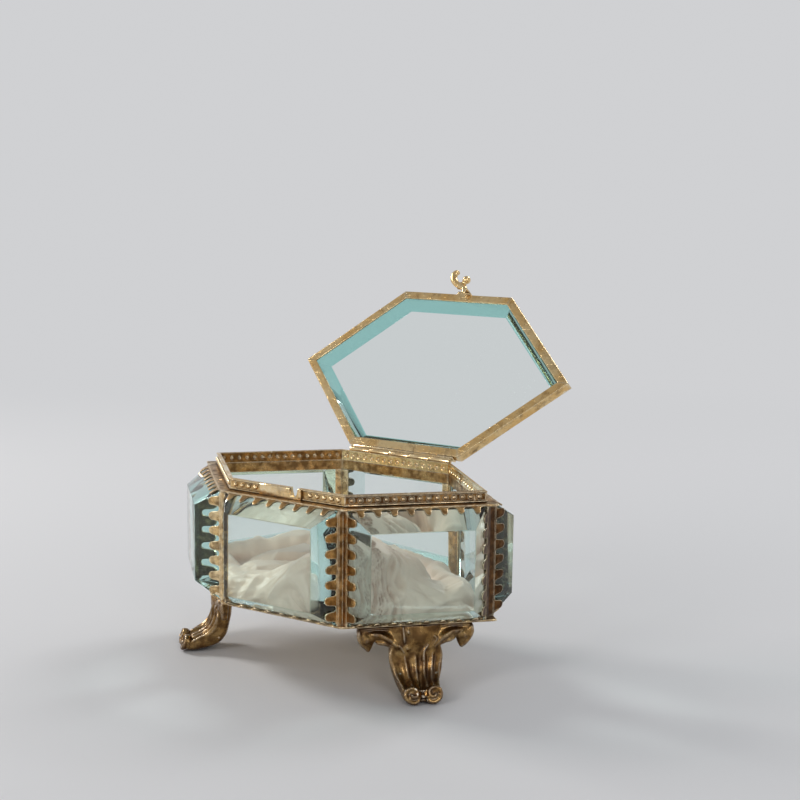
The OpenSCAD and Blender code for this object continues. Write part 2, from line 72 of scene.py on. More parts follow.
MITRE_PLAY = 0.00002  # what a rail stops short of its mitre
ROW_PLAY = 0.0012  # plain strip left over at the ends of a row of tabs
LONGEST_EDGE = 0.0005  # long edges are divided, so that wear can be told along them
SHEET_BEND = 0.00022  # rounding of folded sheet
POST_BEND = 0.00012
SHARP = math.radians(45)

# Each lamp's name, place, watts, width and tone; all of them aim at LAMP_AIM
LAMPS = (
    ("key", (-0.80, -0.02, 0.52), 4.2, 0.26, (1.0, 0.985, 0.96)),
    ("front", (-0.20, -0.80, 0.38), 1.7, 0.26, (1.0, 0.99, 0.97)),
    ("back", (0.15, 0.62, 0.62), 2.2, 0.26, (0.98, 0.99, 1.0)),
    ("fill", (0.66, -0.46, 0.52), 0.8, 0.24, (1.0, 1.0, 1.0)),
)
LAMP_AIM = (0, 0, 0.04)
CAMERA_PLACE = (0.22692, -0.32774, 0.13370)
CAMERA_TURN = (-32.455, 8.53, 0.75)  # yaw, pitch downwards and roll, in degrees
CAMERA_SENSOR, CAMERA_LENS = 36.0, 64.77


# ---- sizes and colours a user may change ----

def length(name, description, default):
    return FloatProperty(name=name, description=description, default=default, min=0,
                         subtype="DISTANCE", unit="LENGTH", precision=5)


def colour(name, description, default):
    return FloatVectorProperty(name=name, description=description, default=default,
                               size=3, min=0, max=1, subtype="COLOR")


class CasketSizes(bpy.types.PropertyGroup):
    side: length("Side", "Length of each side along the rim", 0.038)
    sheet: length("Sheet", "Thickness of the sheet brass", 0.0006)
    ledge: length("Ledge", "Reach of the ledge outwards from the rim line", 0.00295)
    band: length("Band", "Height of the band inside the panes", 0.0024)
    lip: length("Lip", "Height of the lip above the lower rail", 0.0023)
    shelf: length("Shelf", "Reach of the lower rail inwards", 0.003)
    pane_edge: length("Pane edge", "Thickness of a pane at its edges", 0.0027)
    pane_face: length("Pane face", "Thickness of a pane at its face", 0.0087)
    bevel: length("Bevel", "Width of a pane's bevel", 0.004)
    pane_gap: length("Pane gap", "Distance from the corner line to a pane", 0.0006)
    flange: length("Flange", "Width of a post's inner flange", 0.0023)
    bed: length("Bed", "Gap where brass lies on glass", 0.00005)
    gallery: length("Gallery", "Thickness of the beaded gallery", 0.0008)
    bead: length("Bead", "Diameter of a bead", 0.0014)
    dimple: length("Dimple", "Depth of the dimple behind a bead", 0.0004)
    beads: IntProperty(name="Beads", description="Beads along each side", default=16, min=4)
    rail_tabs: IntProperty(name="Rail tabs", description="Scallops along each rail",
                           default=8, min=2)
    post_tabs: IntProperty(name="Post tabs", description="Scallops along each post flange",
                           default=7, min=2)
    rail_reach: length("Rail tab reach", "Reach of the scallops on the rails", 0.0029)
    post_reach: length("Post tab reach", "Reach of the scallops on the posts", 0.0034)
    rail_tip: length("Rail tab tip", "Radius of the tips on the rails", 0.0007)
    post_tip: length("Post tab tip", "Radius of the tips on the posts", 0.0011)
    root: length("Tab root", "Plain strip below the scallops", 0.00025)
    lid_wall: length("Lid wall", "Height of the lid frame", 0.0032)
    lid_over: length("Lid overhang", "Overhang of the lid frame", 0.0005)
    lid_lip: length("Lid lip", "Width of the lip under the lid glass", 0.002)


class CasketColours(bpy.types.PropertyGroup):
    gilt: colour("Gilt", "Clean old gilding", (0.90, 0.68, 0.36))
    # Bright edges: gilding rubbed bare, and a painted highlight on them
    bright: colour("Rubbed gilt", "Gilding rubbed bright on the edges", (1.0, 0.86, 0.60))
    # Dark hollows: brown film, and painted shade there
    umber: colour("Umber", "Brown film in the recesses", (0.085, 0.038, 0.014))
    bronze: colour("Bronze", "Darkened cast brass", (0.38, 0.245, 0.10))
    # High places of the casting: rubbed bare metal, and a painted highlight on them
    silver: colour("Rubbed casting", "Casting rubbed bare on the high places",
                   (0.86, 0.78, 0.64))
    glass: colour("Glass", "Faint green of thick glass", (0.10, 0.80, 0.70))
    glass_edge: colour("Glass edge", "Sea green seen along the bevels", (0.16, 0.55, 0.50))
    silk: colour("Silk", "Old cream silk", (0.95, 0.79, 0.63))
    # Painted shade for the silk's folds, also used for its aged blotches
    silk_shade_and_age: colour("Silk in folds", "Warmer silk down in the folds", (0.50, 0.28, 0.17))
    floor: colour("Floor", "Pale studio floor", (0.74, 0.74, 0.75))
    backdrop: colour("Backdrop", "Pale backdrop behind the floor", (0.63, 0.635, 0.65))


def sizes():
    return bpy.context.scene.casket_sizes


def colours():
    return bpy.context.scene.casket_colours


# ---- places ----

def front_line():
    """Distance from the middle out to the line of the front side."""
    return sizes().side * math.sin(math.radians(45))


def corner(k):
    """Corner k of the rim's line, seen from above, anticlockwise from the front left."""
    s = sizes().side
    p = Vector((-s / 2, -front_line(), 0))
    for i in range(k % 6):
        a = math.radians(SIDE_ANGLE[i])
        p += s * Vector((math.cos(a), math.sin(a), 0))
    return p


def half_turn(k):
    """Half the angle by which the sides turn at corner k."""
    return math.radians(CORNER_TURN[k % 6] / 2)


def on_side(k):
    """Frame of side k: x along it, -y outwards."""
    middle = (corner(k) + corner(k + 1)) / 2
    return Matrix.Translation(middle) @ Matrix.Rotation(math.radians(SIDE_ANGLE[k]), 4, "Z")


def at_corner(k):
    """Frame of corner k: -y outwards, halfway between its two sides."""
    turn = math.radians(SIDE_ANGLE[k]) - half_turn(k)
    return Matrix.Translation(corner(k)) @ Matrix.Rotation(turn, 4, "Z")


def opened():
    """Turns a piece of the closed lid to where the open lid rests."""
    pin = Vector(HINGE["pos_m"])
    turn = Matrix.Rotation(math.radians(-HINGE["range_deg"][1]), 4, "X")
    return Matrix.Translation(pin) @ turn @ Matrix.Translation(-pin)


def heights():
    """Heights of the body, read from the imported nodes."""
    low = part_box("lower_rail_front")[0].z
    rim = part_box("gallery_front")[1].z
    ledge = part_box("upper_rail_front")[1].z
    return low, ledge, rim


def wander(p, scale, seed=0.0):
    """A smooth random offset that depends on place only."""
    return noise.noise_vector(Vector(p) * scale + Vector((seed, seed * 1.7, -seed)))


# ---- mesh helpers ----

def rounded(points, radius, steps=2):
    """A closed outline with its corners rounded."""
    done = []
    n = len(points)
    for i, p in enumerate(points):
        p, a, b = Vector(p), Vector(points[i - 1]), Vector(points[(i + 1) % n])
        u, w = (a - p), (b - p)
        r = min(radius, u.length * 0.45, w.length * 0.45)
        start, end = p + u.normalized() * r, p + w.normalized() * r
        for j in range(steps + 1):
            t = j / steps
            done.append((1 - t) ** 2 * start + 2 * t * (1 - t) * p + t * t * end)
    return done


def split_long(points, longest):
    """A closed outline with its long edges divided."""
    done = []
    for i, p in enumerate(points):
        q = points[(i + 1) % len(points)]
        count = max(1, math.ceil((q - p).length / longest))
        done += [p.lerp(q, j / count) for j in range(count)]
    return done


def mitred_bar(bm, k, outline, columns, place, shift=None):
    """Runs an outline of (out, height) along side k between its mitres."""
    left, right = math.tan(half_turn(k)), math.tan(half_turn(k + 1))
    half = sizes().side / 2 - MITRE_PLAY
    rings = []
    for i in range(columns + 1):
        t = i / columns
        ring = []
        for out, z in outline:
            x0, x1 = -half - out * left, half + out * right
            p = Vector((x0 + (x1 - x0) * t, -out, z))
            if shift:
                p += shift(p)
            ring.append(bm.verts.new(place @ p))
        rings.append(ring)
    bridge(bm, rings, True)
    bm.faces.new(rings[0])
    bm.faces.new(list(reversed(rings[-1])))


def bridge(bm, rings, closed):
    """Faces from each row of points to the next."""
    for a, b in zip(rings, rings[1:]):
        n = len(a)
        for j in range(n if closed else n - 1):
            q = (j + 1) % n
            bm.faces.new((a[j], a[q], b[q], b[j]))


def tube(bm, rings):
    """Skins closed rings and shuts both ends."""
    bridge(bm, rings, True)
    bm.faces.new(list(reversed(rings[0])))
    bm.faces.new(rings[-1])


def prism(bm, outline, low, high, place, rows=1):
    """An outline drawn out along z, in rows."""
    rings = []
    for i in range(rows + 1):
        z = low + (high - low) * i / rows
        rings.append([bm.verts.new(place @ Vector((x, y, z))) for x, y in outline])
    tube(bm, rings)


def sweep(bm, path, sizes_at, up, sides=12):
    """A closed bar along a path; sizes_at(t) gives half width and half height."""
    rings = []
    count = len(path)
    for i, p in enumerate(path):
        ahead = path[min(i + 1, count - 1)] - path[max(i - 1, 0)]
        side = ahead.cross(up).normalized()
        wide, high = sizes_at(i / (count - 1))
        rings.append([
            bm.verts.new(p + side * wide * math.cos(a) + up * high * math.sin(a))
            for a in (2 * math.pi * j / sides for j in range(sides))])
    tube(bm, rings)


def curve_through(points, steps):
    """Points on a smooth curve through the given ones."""
    pts = [Vector(p) for p in points]
    pts = [2 * pts[0] - pts[1]] + pts + [2 * pts[-1] - pts[-2]]
    done = []
    for i in range(1, len(pts) - 2):
        a, b, c, d = pts[i - 1:i + 3]
        for j in range(steps):
            t = j / steps
            done.append(0.5 * (2 * b + (c - a) * t + (2 * a - 5 * b + 4 * c - d) * t * t
                               + (3 * b - 3 * c + d - a) * t ** 3))
    return done + [pts[-2]]


def mesh_of(bm, name="work"):
    """The mesh of a bmesh, which is freed."""
    mesh = bpy.data.meshes.new(name)
    bm.to_mesh(mesh)
    bm.free()
    return mesh


def linked(name, data):
    """A new object in the scene."""
    made = bpy.data.objects.new(name, data)
    bpy.context.scene.collection.objects.link(made)
    return made


def evaluated(made):
    """A new mesh of what an object looks like after its modifiers."""
    bpy.context.view_layer.update()
    return bpy.data.meshes.new_from_object(
        made.evaluated_get(bpy.context.evaluated_depsgraph_get()))


def with_modifiers(work, modifiers):
    """The mesh of a helper object after more modifiers; the object goes."""
    for kind, settings in modifiers:
        added = work.modifiers.new(kind.lower(), kind)
        for key, value in settings.items():
            setattr(added, key, value)
    done = evaluated(work)
    bpy.data.objects.remove(work)
    return done


def piece(name, source, material, body, nodes, smooth=35):
    """Makes an object of a bmesh or mesh, with its finish, body and CAD nodes."""
    if isinstance(source, bmesh.types.BMesh):
        bmesh.ops.recalc_face_normals(source, faces=source.faces)
        source = mesh_of(source)
    source.name = name
    source.materials.clear()
    source.materials.append(material)
    source.shade_smooth()
    if smooth:
        source.set_sharp_from_angle(angle=math.radians(smooth))
    made = linked(name, source)
    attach(made, body)
    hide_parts(*nodes)
    return made


def finished(source, modifiers):
    """A bmesh or mesh with modifiers applied, as a new mesh."""
    mesh = mesh_of(source) if isinstance(source, bmesh.types.BMesh) else source
    return with_modifiers(linked("work", mesh), modifiers)


def take(bm, mesh, place=Matrix.Identity(4)):
    """Adds a placed copy of a mesh to a bmesh."""
    copy = mesh.copy()
    copy.transform(place)
    bm.from_mesh(copy)
    bpy.data.meshes.remove(copy)


def softened(node, width, segments=2, flat=1.0):
    """A copy of a CAD node's solid with its sharp edges rounded."""
    bm = bmesh.new()
    bm.from_mesh(frame["nodes"][node].data)
    bmesh.ops.remove_doubles(bm, verts=bm.verts, dist=1e-6)
    bmesh.ops.dissolve_limit(bm, angle_limit=math.radians(flat), verts=bm.verts,
                             edges=bm.edges)
    return finished(bm, [("BEVEL", {
        "width": width, "segments": segments, "limit_method": "ANGLE",
        "angle_limit": math.radians(25), "use_clamp_overlap": True,
        "miter_outer": "MITER_ARC"})])


# ---- nodes ----

class Term:
    """A socket that sums and products are written with; each makes a Math node."""

    def __init__(self, maker, socket):
        self.maker, self.socket = maker, socket

    def __add__(self, other):
        return self.maker.math("ADD", self, other)

    def __sub__(self, other):
        return self.maker.math("SUBTRACT", self, other)

    def __rsub__(self, other):
        return self.maker.math("SUBTRACT", other, self)

    def __mul__(self, other):
        return self.maker.math("MULTIPLY", self, other)

    def __truediv__(self, other):
        return self.maker.math("DIVIDE", self, other)

    __radd__, __rmul__ = __add__, __mul__


class NodeMaker:
    """Short ways to place and join nodes in a tree."""

    def __init__(self, tree):
        self.tree = tree

    def add(self, kind, inputs=None, **settings):
        node = self.tree.nodes.new(kind)
        for key, value in settings.items():
            setattr(node, key, value)
        for key, value in (inputs or {}).items():
            self.give(self.socket(node.inputs, key), value)
        return node

    @staticmethod
    def socket(sockets, key):
        if isinstance(key, int):
            return sockets[key]
        return next(s for s in sockets if s.name == key and s.enabled)

    def give(self, socket, value):
        if isinstance(value, Term):
            value = value.socket
        if isinstance(value, bpy.types.NodeSocket):
            self.tree.links.new(value, socket)
        else:
            socket.default_value = value

    def out(self, node, key=0):
        return Term(self, self.socket(node.outputs, key))

    def math(self, operation, *values):
        node = self.add("ShaderNodeMath", operation=operation)
        for socket, value in zip(node.inputs, values):
            self.give(socket, value)
        return self.out(node)

    def place(self):
        """Where a point lies in its object."""
        return self.out(self.add("ShaderNodeTexCoord"), "Object")


def take_in(tree, inputs):
    """Named inputs, each of its default's kind; None stands for a material."""
    for label, default in inputs.items():
        kind = {float: "Float", int: "Int"}.get(type(default), "Material")
        made = tree.interface.new_socket(label, in_out="INPUT",
                                         socket_type="NodeSocket" + kind)
        if default is not None:
            made.default_value = default


def tree_with(name, inputs):
    """A geometry tree with named inputs: {name: default}."""
    tree = bpy.data.node_groups.new(name, "GeometryNodeTree")
    tree.is_modifier = True
    take_in(tree, inputs)
    tree.interface.new_socket("Geometry", in_out="OUTPUT", socket_type="NodeSocketGeometry")
    maker = NodeMaker(tree)
    return tree, maker, maker.add("NodeGroupInput")


def close_tree(maker, geometry, material):
    """Ends a tree in Realize Instances and Set Material."""
    real = maker.add("GeometryNodeRealizeInstances", {0: geometry})
    coated = maker.add("GeometryNodeSetMaterial", {0: real.outputs[0], "Material": material})
    maker.add("NodeGroupOutput", {0: coated.outputs[0]})


def grown(tree, values, modifiers=()):
    """Runs a geometry tree and returns its plain mesh, after further modifiers."""
    work = linked("grown", bpy.data.meshes.new("grown"))
    added = work.modifiers.new("nodes", "NODES")
    added.node_group = tree
    for item in tree.interface.items_tree:
        if item.item_type == "SOCKET" and item.in_out == "INPUT" and item.name in values:
            added[item.identifier] = values[item.name]
    return with_modifiers(work, modifiers)


def scallop_tree():
    """A sheet with a scalloped edge: x along, y up the tongues, z off the glass."""
    tree, m, given = tree_with("scalloped_strip", {
        "Length": 0.036, "Tabs": 8, "Reach": 0.003, "Tip radius": 0.0007,
        "Root": 0.00025, "Start": -0.0004, "Dome": 0.0002, "Lift": 0.0001,
        "Uneven": 0.08, "Seed": 1, "Material": None})
    long, tabs, reach, tip, root, start, seed = (m.out(given, key) for key in (
        "Length", "Tabs", "Reach", "Tip radius", "Root", "Start", "Seed"))
    grid = m.add("GeometryNodeMeshGrid", {"Size X": long, "Size Y": 1.0,
                                          "Vertices X": tabs * 20 + 1, "Vertices Y": 8})
    at = m.add("ShaderNodeSeparateXYZ", {0: m.out(m.add("GeometryNodeInputPosition"))})
    x, up = m.out(at, 0), m.out(at, 1) + 0.5
    pitch = long / tabs
    half = pitch * 0.5
    place = (x + long * 0.5) / pitch
    which = m.math("FLOOR", place)
    away = m.math("ABSOLUTE", (place - which - 0.5) * pitch)

    def chance(seed):
        return m.out(m.add("FunctionNodeRandomValue", {
            "Min": -1.0, "Max": 1.0, "ID": which, "Seed": seed}, data_type="FLOAT"), "Value")

    odd, other = chance(seed), chance(seed + 17)
    crown = m.math("SQRT", m.math("MAXIMUM", tip * tip - away * away, 0.0))
    high = reach * (odd * m.out(given, "Uneven") + 1.0) - tip + crown
    valley = half - tip
    deep = m.math("MINIMUM", valley, (reach - tip - root) * 0.9)
    from_middle = (half - away) / valley
    bowl = m.math("SQRT", m.math("MAXIMUM", 1.0 - from_middle * from_middle, 0.0))
    low = root + deep - deep * bowl
    inside = m.math("LESS_THAN", away, tip)
    edge = high * inside + low * (1.0 - inside)
    y = start + up * (edge - start)
    share = away / half
    rise = m.math("MAXIMUM", y / reach, 0.0)
    dome = m.out(given, "Dome") * ((1.0 - share * share) * m.math(
        "SINE", m.math("MINIMUM", rise, 1.0) * 2.6))
    lift = m.out(given, "Lift") * (1.0 + other) * (rise * rise)
    lean = other * rise * (pitch * 0.04)
    where = m.add("ShaderNodeCombineXYZ", {0: x + lean, 1: y, 2: dome + lift})
    moved = m.add("GeometryNodeSetPosition", {0: m.out(grid), "Position": m.out(where)})
    close_tree(m, moved.outputs[0], m.out(given, "Material"))
    return tree


def bead_tree():
    """A row of small uneven beads along x."""
    tree, m, given = tree_with("bead_row", {
        "Length": 0.036, "Beads": 16, "Diameter": 0.0014, "Uneven": 0.07, "Seed": 3,
        "Skip from": 1.0, "Skip to": -1.0, "Material": None})
    long, beads, uneven = (m.out(given, key) for key in ("Length", "Beads", "Uneven"))
    pitch = long / beads
    start = m.add("ShaderNodeCombineXYZ", {0: (long - pitch) * -0.5})
    step = m.add("ShaderNodeCombineXYZ", {0: pitch})
    line = m.add("GeometryNodeMeshLine", {
        "Count": beads, "Start Location": m.out(start), "Offset": m.out(step)})
    at = m.add("ShaderNodeSeparateXYZ", {0: m.out(m.add("GeometryNodeInputPosition"))})
    x = m.out(at, 0)
    hidden = m.math("GREATER_THAN", x, m.out(given, "Skip from")) * m.math(
        "LESS_THAN", x, m.out(given, "Skip to"))
    shown = m.add("GeometryNodeDeleteGeometry", {0: m.out(line), "Selection": hidden},
                  domain="POINT")
    ball = m.add("GeometryNodeMeshUVSphere", {
        "Segments": 14, "Rings": 9, "Radius": m.out(given, "Diameter") * 0.5})
    least, most = (m.out(m.add("ShaderNodeCombineXYZ", {0: span, 1: span, 2: span}))
                   for span in (1.0 - uneven, 1.0 + uneven * 0.3))
    size = m.add("FunctionNodeRandomValue", {
        "Min": least, "Max": most, "Seed": m.out(given, "Seed")}, data_type="FLOAT_VECTOR")
    rows = m.add("GeometryNodeInstanceOnPoints", {
        "Points": m.out(shown), "Instance": m.out(ball), "Scale": m.out(size, "Value")})
    close_tree(m, rows.outputs[0], m.out(given, "Material"))
    return tree


# ---- effects shared by the finishes ----

def effect(name, inputs, outputs):
    """A shader group that turns values into masks or heights."""
    group = bpy.data.node_groups.new(name, "ShaderNodeTree")
    take_in(group, inputs)
    for label in outputs:
        group.interface.new_socket(label, in_out="OUTPUT", socket_type="NodeSocketFloat")
    maker = NodeMaker(group)
    return group, maker, maker.add("NodeGroupInput"), maker.add("NodeGroupOutput")


def spread(m, value, low, high, to_low=0.0, to_high=1.0):
    """A value brought from one range to another and held inside it."""
    node = m.add("ShaderNodeMapRange", {"Value": value, "From Min": low, "From Max": high,
                                        "To Min": to_low, "To Max": to_high})
    return m.out(node, "Result")


def noise_at(m, scale, detail=4.0, rough=0.55, where=None):
    """Soft noise from 0 to 1, by place in the object."""
    node = m.add("ShaderNodeTexNoise", {"Vector": where or m.place(), "Scale": scale,
                                        "Detail": detail, "Roughness": rough})
    return m.out(node, "Fac")


def wear_and_light_effect():
    """Edges open to the light: rubbed wear and a painted highlight. Hollows, by ambient
    occlusion: brown film and painted shade.
    """
    group, m, given, done = effect("wear_and_painted_light", {
        "Edge width": 0.00025, "Reach": 0.0012, "Break-up": 900.0, "Proud at": 0.6},
        ("Rubbed and highlit", "Recess film and shade"))
    soft = m.add("ShaderNodeBevel", {"Radius": m.out(given, "Edge width")}, samples=4)
    shape = m.add("ShaderNodeNewGeometry")
    same = m.add("ShaderNodeVectorMath", {0: m.out(soft), 1: m.out(shape, "Normal")},
                 operation="DOT_PRODUCT")
    turned, point = 1.0 - m.out(same, "Value"), m.out(shape, "Pointiness")
    closed = m.add("ShaderNodeAmbientOcclusion", {"Distance": m.out(given, "Reach")}, samples=6)
    open_air = m.out(closed, "AO")
    fine = spread(m, noise_at(m, m.out(given, "Break-up")), 0.3, 0.7, 0.35, 1.3)
    proud = m.math("MAXIMUM", spread(m, turned, 0.006, 0.10),
                   spread(m, point, 0.52, m.out(given, "Proud at")))
    edges = proud * spread(m, open_air, 0.30, 0.75)
    shut = m.math("MAXIMUM", spread(m, open_air, 0.95, 0.35), spread(m, point, 0.485, 0.42))
    for name, mask in (("Rubbed and highlit", edges), ("Recess film and shade", shut)):
        m.give(done.inputs[name], m.math("MINIMUM", mask * fine, 1.0))
    return group


def film_effect():
    """Blotches of brown film and fine specks, as masks."""
    group, m, given, done = effect("old_film", {
        "Blotch scale": 220.0, "Amount": 0.5, "Speck scale": 2600.0}, ("Film", "Specks"))
    where = m.place()
    big = noise_at(m, m.out(given, "Blotch scale"), 6.0, 0.62, where)
    level = (1.0 - m.out(given, "Amount")) * 0.72
    m.give(done.inputs["Film"], spread(m, big, level, level + 0.22))
    small = noise_at(m, m.out(given, "Speck scale"), 2.0, 0.5, where)
    m.give(done.inputs["Specks"], spread(m, small, 0.62, 0.72))
    return group


def grain_effect():
    """Fine rolled or cast grain and scratches, as a height."""
    group, m, given, done = effect("metal_grain", {
        "Grain scale": 1800.0, "Dents": 300.0, "Scratch": 0.4}, ("Height", "Scratches"))
    where = m.place()
    fine = noise_at(m, m.out(given, "Grain scale"), 3.0, 0.6, where)
    dents = noise_at(m, m.out(given, "Dents"), 2.0, 0.5, where)
    stretched = m.add("ShaderNodeMapping", {
        "Vector": where, "Rotation": (0.5, 0.9, 0.3), "Scale": (300.0, 5200.0, 300.0)})
    lines = m.add("ShaderNodeTexNoise", {"Vector": m.out(stretched), "Scale": 1.0,
                                         "Detail": 2.0})
    lines = spread(m, m.out(lines, "Fac"), 0.66, 0.74)
    m.give(done.inputs["Scratches"], lines)
    m.give(done.inputs["Height"], fine * 0.35 + dents - lines * m.out(given, "Scratch"))
    return group


EFFECTS = {"wear_and_painted_light": wear_and_light_effect, "old_film": film_effect, "metal_grain": grain_effect}


def effects(m, name, values):
    """A use of a shared effect, which is made when first asked for."""
    group = bpy.data.node_groups.get(name) or EFFECTS[name]()
    return m.add("ShaderNodeGroup", values, node_tree=group)


def start_material(name):
    """An empty material, and a maker for its nodes."""
    made = bpy.data.materials.new(name)
    made.use_nodes = True
    made.node_tree.nodes.clear()
    return made, NodeMaker(made.node_tree)


def blended(m, share, low, high):
    """A mix of two colours, each plain or from a node."""
    ends = [v if isinstance(v, Term) else (*v, 1.0) for v in (low, high)]
    return m.out(m.add("ShaderNodeMix", {"Factor": share, "A": ends[0], "B": ends[1]},
                       data_type="RGBA"), "Result")


def old_brass(name, body, bright, dark, film, rubbed, smooth, grain, bump, proud=0.60,
              reach=0.0013):
    """Gilt or bare brass: clean metal, brown film and painted shade in the recesses, rubbed
    edges with a painted highlight.
    """
    made, m = start_material(name)
    wear_and_light = effects(m, "wear_and_painted_light", {"Edge width": 0.00034, "Reach": reach,
                                    "Break-up": 1100.0, "Proud at": proud})
    films = effects(m, "old_film", {"Blotch scale": 420.0, "Amount": film,
                                    "Speck scale": 2400.0})
    grains = effects(m, "metal_grain", {"Grain scale": grain, "Dents": 380.0,
                                        "Scratch": 0.3})
    recess_film_and_shade, wear_and_highlight = m.out(wear_and_light, "Recess film and shade"), m.out(wear_and_light, "Rubbed and highlit") * rubbed
    # Brown film and painted shade in the hollows, with blotches of film: they darken the colour
    # and lower the metal there
    film_and_shade = m.math("MINIMUM", recess_film_and_shade * 0.95 + m.out(films, "Film") * 0.75, 0.97)
    warm = [v * t for v, t in zip(body, (0.93, 0.78, 0.56))]
    base = blended(m, spread(m, noise_at(m, 130.0, 3.0), 0.4, 0.65), body, warm)
    base = blended(m, film_and_shade, base, dark)
    base = blended(m, m.out(films, "Specks") * 0.5, base, dark)
    # Convex edges turn bright: rubbed wear and a painted highlight
    base = blended(m, wear_and_highlight, base, bright)
    rough = smooth + film_and_shade * 0.22 - wear_and_highlight * 0.08 + m.out(grains, "Scratches") * 0.12
    dent = m.add("ShaderNodeBump", {"Strength": bump, "Distance": 0.00012,
                                    "Height": m.out(grains, "Height")})
    shader = m.add("ShaderNodeBsdfPrincipled", {
        "Base Color": base, "Metallic": 1.0 - recess_film_and_shade * film_and_shade * 0.45, "Roughness": rough,
        "Normal": m.out(dent)})
    m.add("ShaderNodeOutputMaterial", {"Surface": m.out(shader)})
    return made


def thick_glass(name):
    """Clear glass with green in its depth and cut faces; shadows pass through it."""
    made, m = start_material(name)
    films = effects(m, "old_film", {"Blotch scale": 90.0, "Amount": 0.42,
                                    "Speck scale": 1500.0})
    grains = effects(m, "metal_grain", {"Grain scale": 260.0, "Dents": 70.0,
                                        "Scratch": 0.05})
    rough = m.out(films, "Specks") * 0.16 + m.out(grains, "Scratches") * 0.05
    wave = m.add("ShaderNodeBump", {"Strength": 0.05, "Distance": 0.0004,
                                    "Height": noise_at(m, 60.0, 2.0, 0.5)})
    cut = m.out(m.add("ShaderNodeAttribute", attribute_name="cut_tint"), "Fac")
    base = blended(m, cut, (0.99, 0.995, 0.99), colours().glass_edge)
    shader = m.add("ShaderNodeBsdfPrincipled", {
        "Base Color": base, "Metallic": 0.0, "Roughness": rough,
        "IOR": 1.5, "Transmission Weight": 1.0, "Normal": m.out(wave)})
    path = m.add("ShaderNodeLightPath")
    through = m.math("MAXIMUM", m.out(path, "Is Shadow Ray"), m.out(path, "Is Diffuse Ray"))
    trapped = m.math("GREATER_THAN", m.out(path, "Ray Depth"), 4.5)
    clear = m.add("ShaderNodeBsdfTransparent", {"Color": (0.965, 0.98, 0.975, 1.0)})
    both = m.add("ShaderNodeMixShader", {0: m.math("MAXIMUM", through, trapped),
                                         1: m.out(shader), 2: m.out(clear)})
    tint = m.add("ShaderNodeVolumeAbsorption", {"Color": (*colours().glass, 1.0),
                                                "Density": 9.0})
    m.add("ShaderNodeOutputMaterial", {"Surface": m.out(both), "Volume": m.out(tint)})
    return made


def old_silk(name):
    """Woven silk with a soft sheen; painted shade makes it browner down in its folds."""
    made, m = start_material(name)
    c, where = colours(), m.place()
    threads = [m.out(m.add("ShaderNodeTexWave", {
        "Vector": where, "Scale": 1100.0, "Distortion": 0.6, "Detail": 1.0},
        bands_direction=axis), "Fac") for axis in ("X", "Y", "Z")]
    weave = threads[0] * 0.4 + (threads[1] * 0.3 + threads[2] * 0.3)
    # Ambient occlusion finds the folds, for painted shade in them
    closed = m.add("ShaderNodeAmbientOcclusion", {"Distance": 0.004}, samples=8,
                   only_local=True)
    deep = spread(m, m.out(closed, "AO"), 0.97, 0.35)
    slub, age = noise_at(m, 700.0, 4.0, 0.6, where), noise_at(m, 55.0, 4.0, 0.6)
    base = blended(m, deep * 0.9, c.silk, c.silk_shade_and_age)
    base = blended(m, spread(m, age, 0.5, 0.8, 0.0, 0.25), base, c.silk_shade_and_age)
    base = blended(m, spread(m, slub, 0.5, 0.75, 0.0, 0.15), base, (0.96, 0.88, 0.78))
    bump = m.add("ShaderNodeBump", {"Strength": 0.35, "Distance": 0.00006, "Height": weave})
    shader = m.add("ShaderNodeBsdfPrincipled", {
        "Base Color": base, "Roughness": spread(m, slub, 0.2, 0.8, 0.38, 0.52),
        "Sheen Weight": 0.35, "Sheen Roughness": 0.4, "Specular IOR Level": 0.45,
        "Normal": m.out(bump)})
    m.add("ShaderNodeOutputMaterial", {"Surface": m.out(shader)})
    return made


def finish_named(name):
    """Each finish, made when first asked for."""
    label = "aged_" + name
    if label in bpy.data.materials:
        return bpy.data.materials[label]
    if name == "bevelled_glass":
        return thick_glass(label)
    if name == "cream_silk":
        return old_silk(label)
    c = colours()
    # body, edges (rubbed wear and painted highlight), recesses (brown film and painted shade),
    # film, rubbing, roughness, grain, bump, proud at, reach
    recipes = {
        "gilt_brass": (c.gilt, c.bright, c.umber, 0.30, 0.9, 0.20, 2200.0, 0.6),
        # Gilt for faces turned away from the key lamp, painted darker brown as painted shade
        "shaded_side_gilt": ((0.56, 0.32, 0.115), c.bright, c.umber, 0.50, 1.0, 0.22, 1800.0,
                         0.8),
        "pale_gilt": ((0.84, 0.67, 0.40), c.bright, c.umber, 0.42, 1.0, 0.20, 2000.0, 0.9),
        "worn_gilt": ((0.60, 0.40, 0.18), c.bright, c.umber, 0.48, 0.85, 0.25, 1800.0, 0.8),
        # A wide reach fills the casting's flutes with brown film and painted shade
        "cast_brass": (c.bronze, c.silver, c.umber, 0.47, 1.0, 0.22, 1200.0, 0.9, 0.67,
                       0.0026),
        # Gilt for the right corner post, turned away from the key lamp, painted nearly black as
        # painted shade
        "deepest_shaded_gilt": ((0.20, 0.10, 0.038), c.bright, (0.03, 0.014, 0.006), 0.55, 0.8, 0.28,
                      1800.0, 0.8),
    }
    return old_brass(label, *recipes[name])


# ---- the stage ----

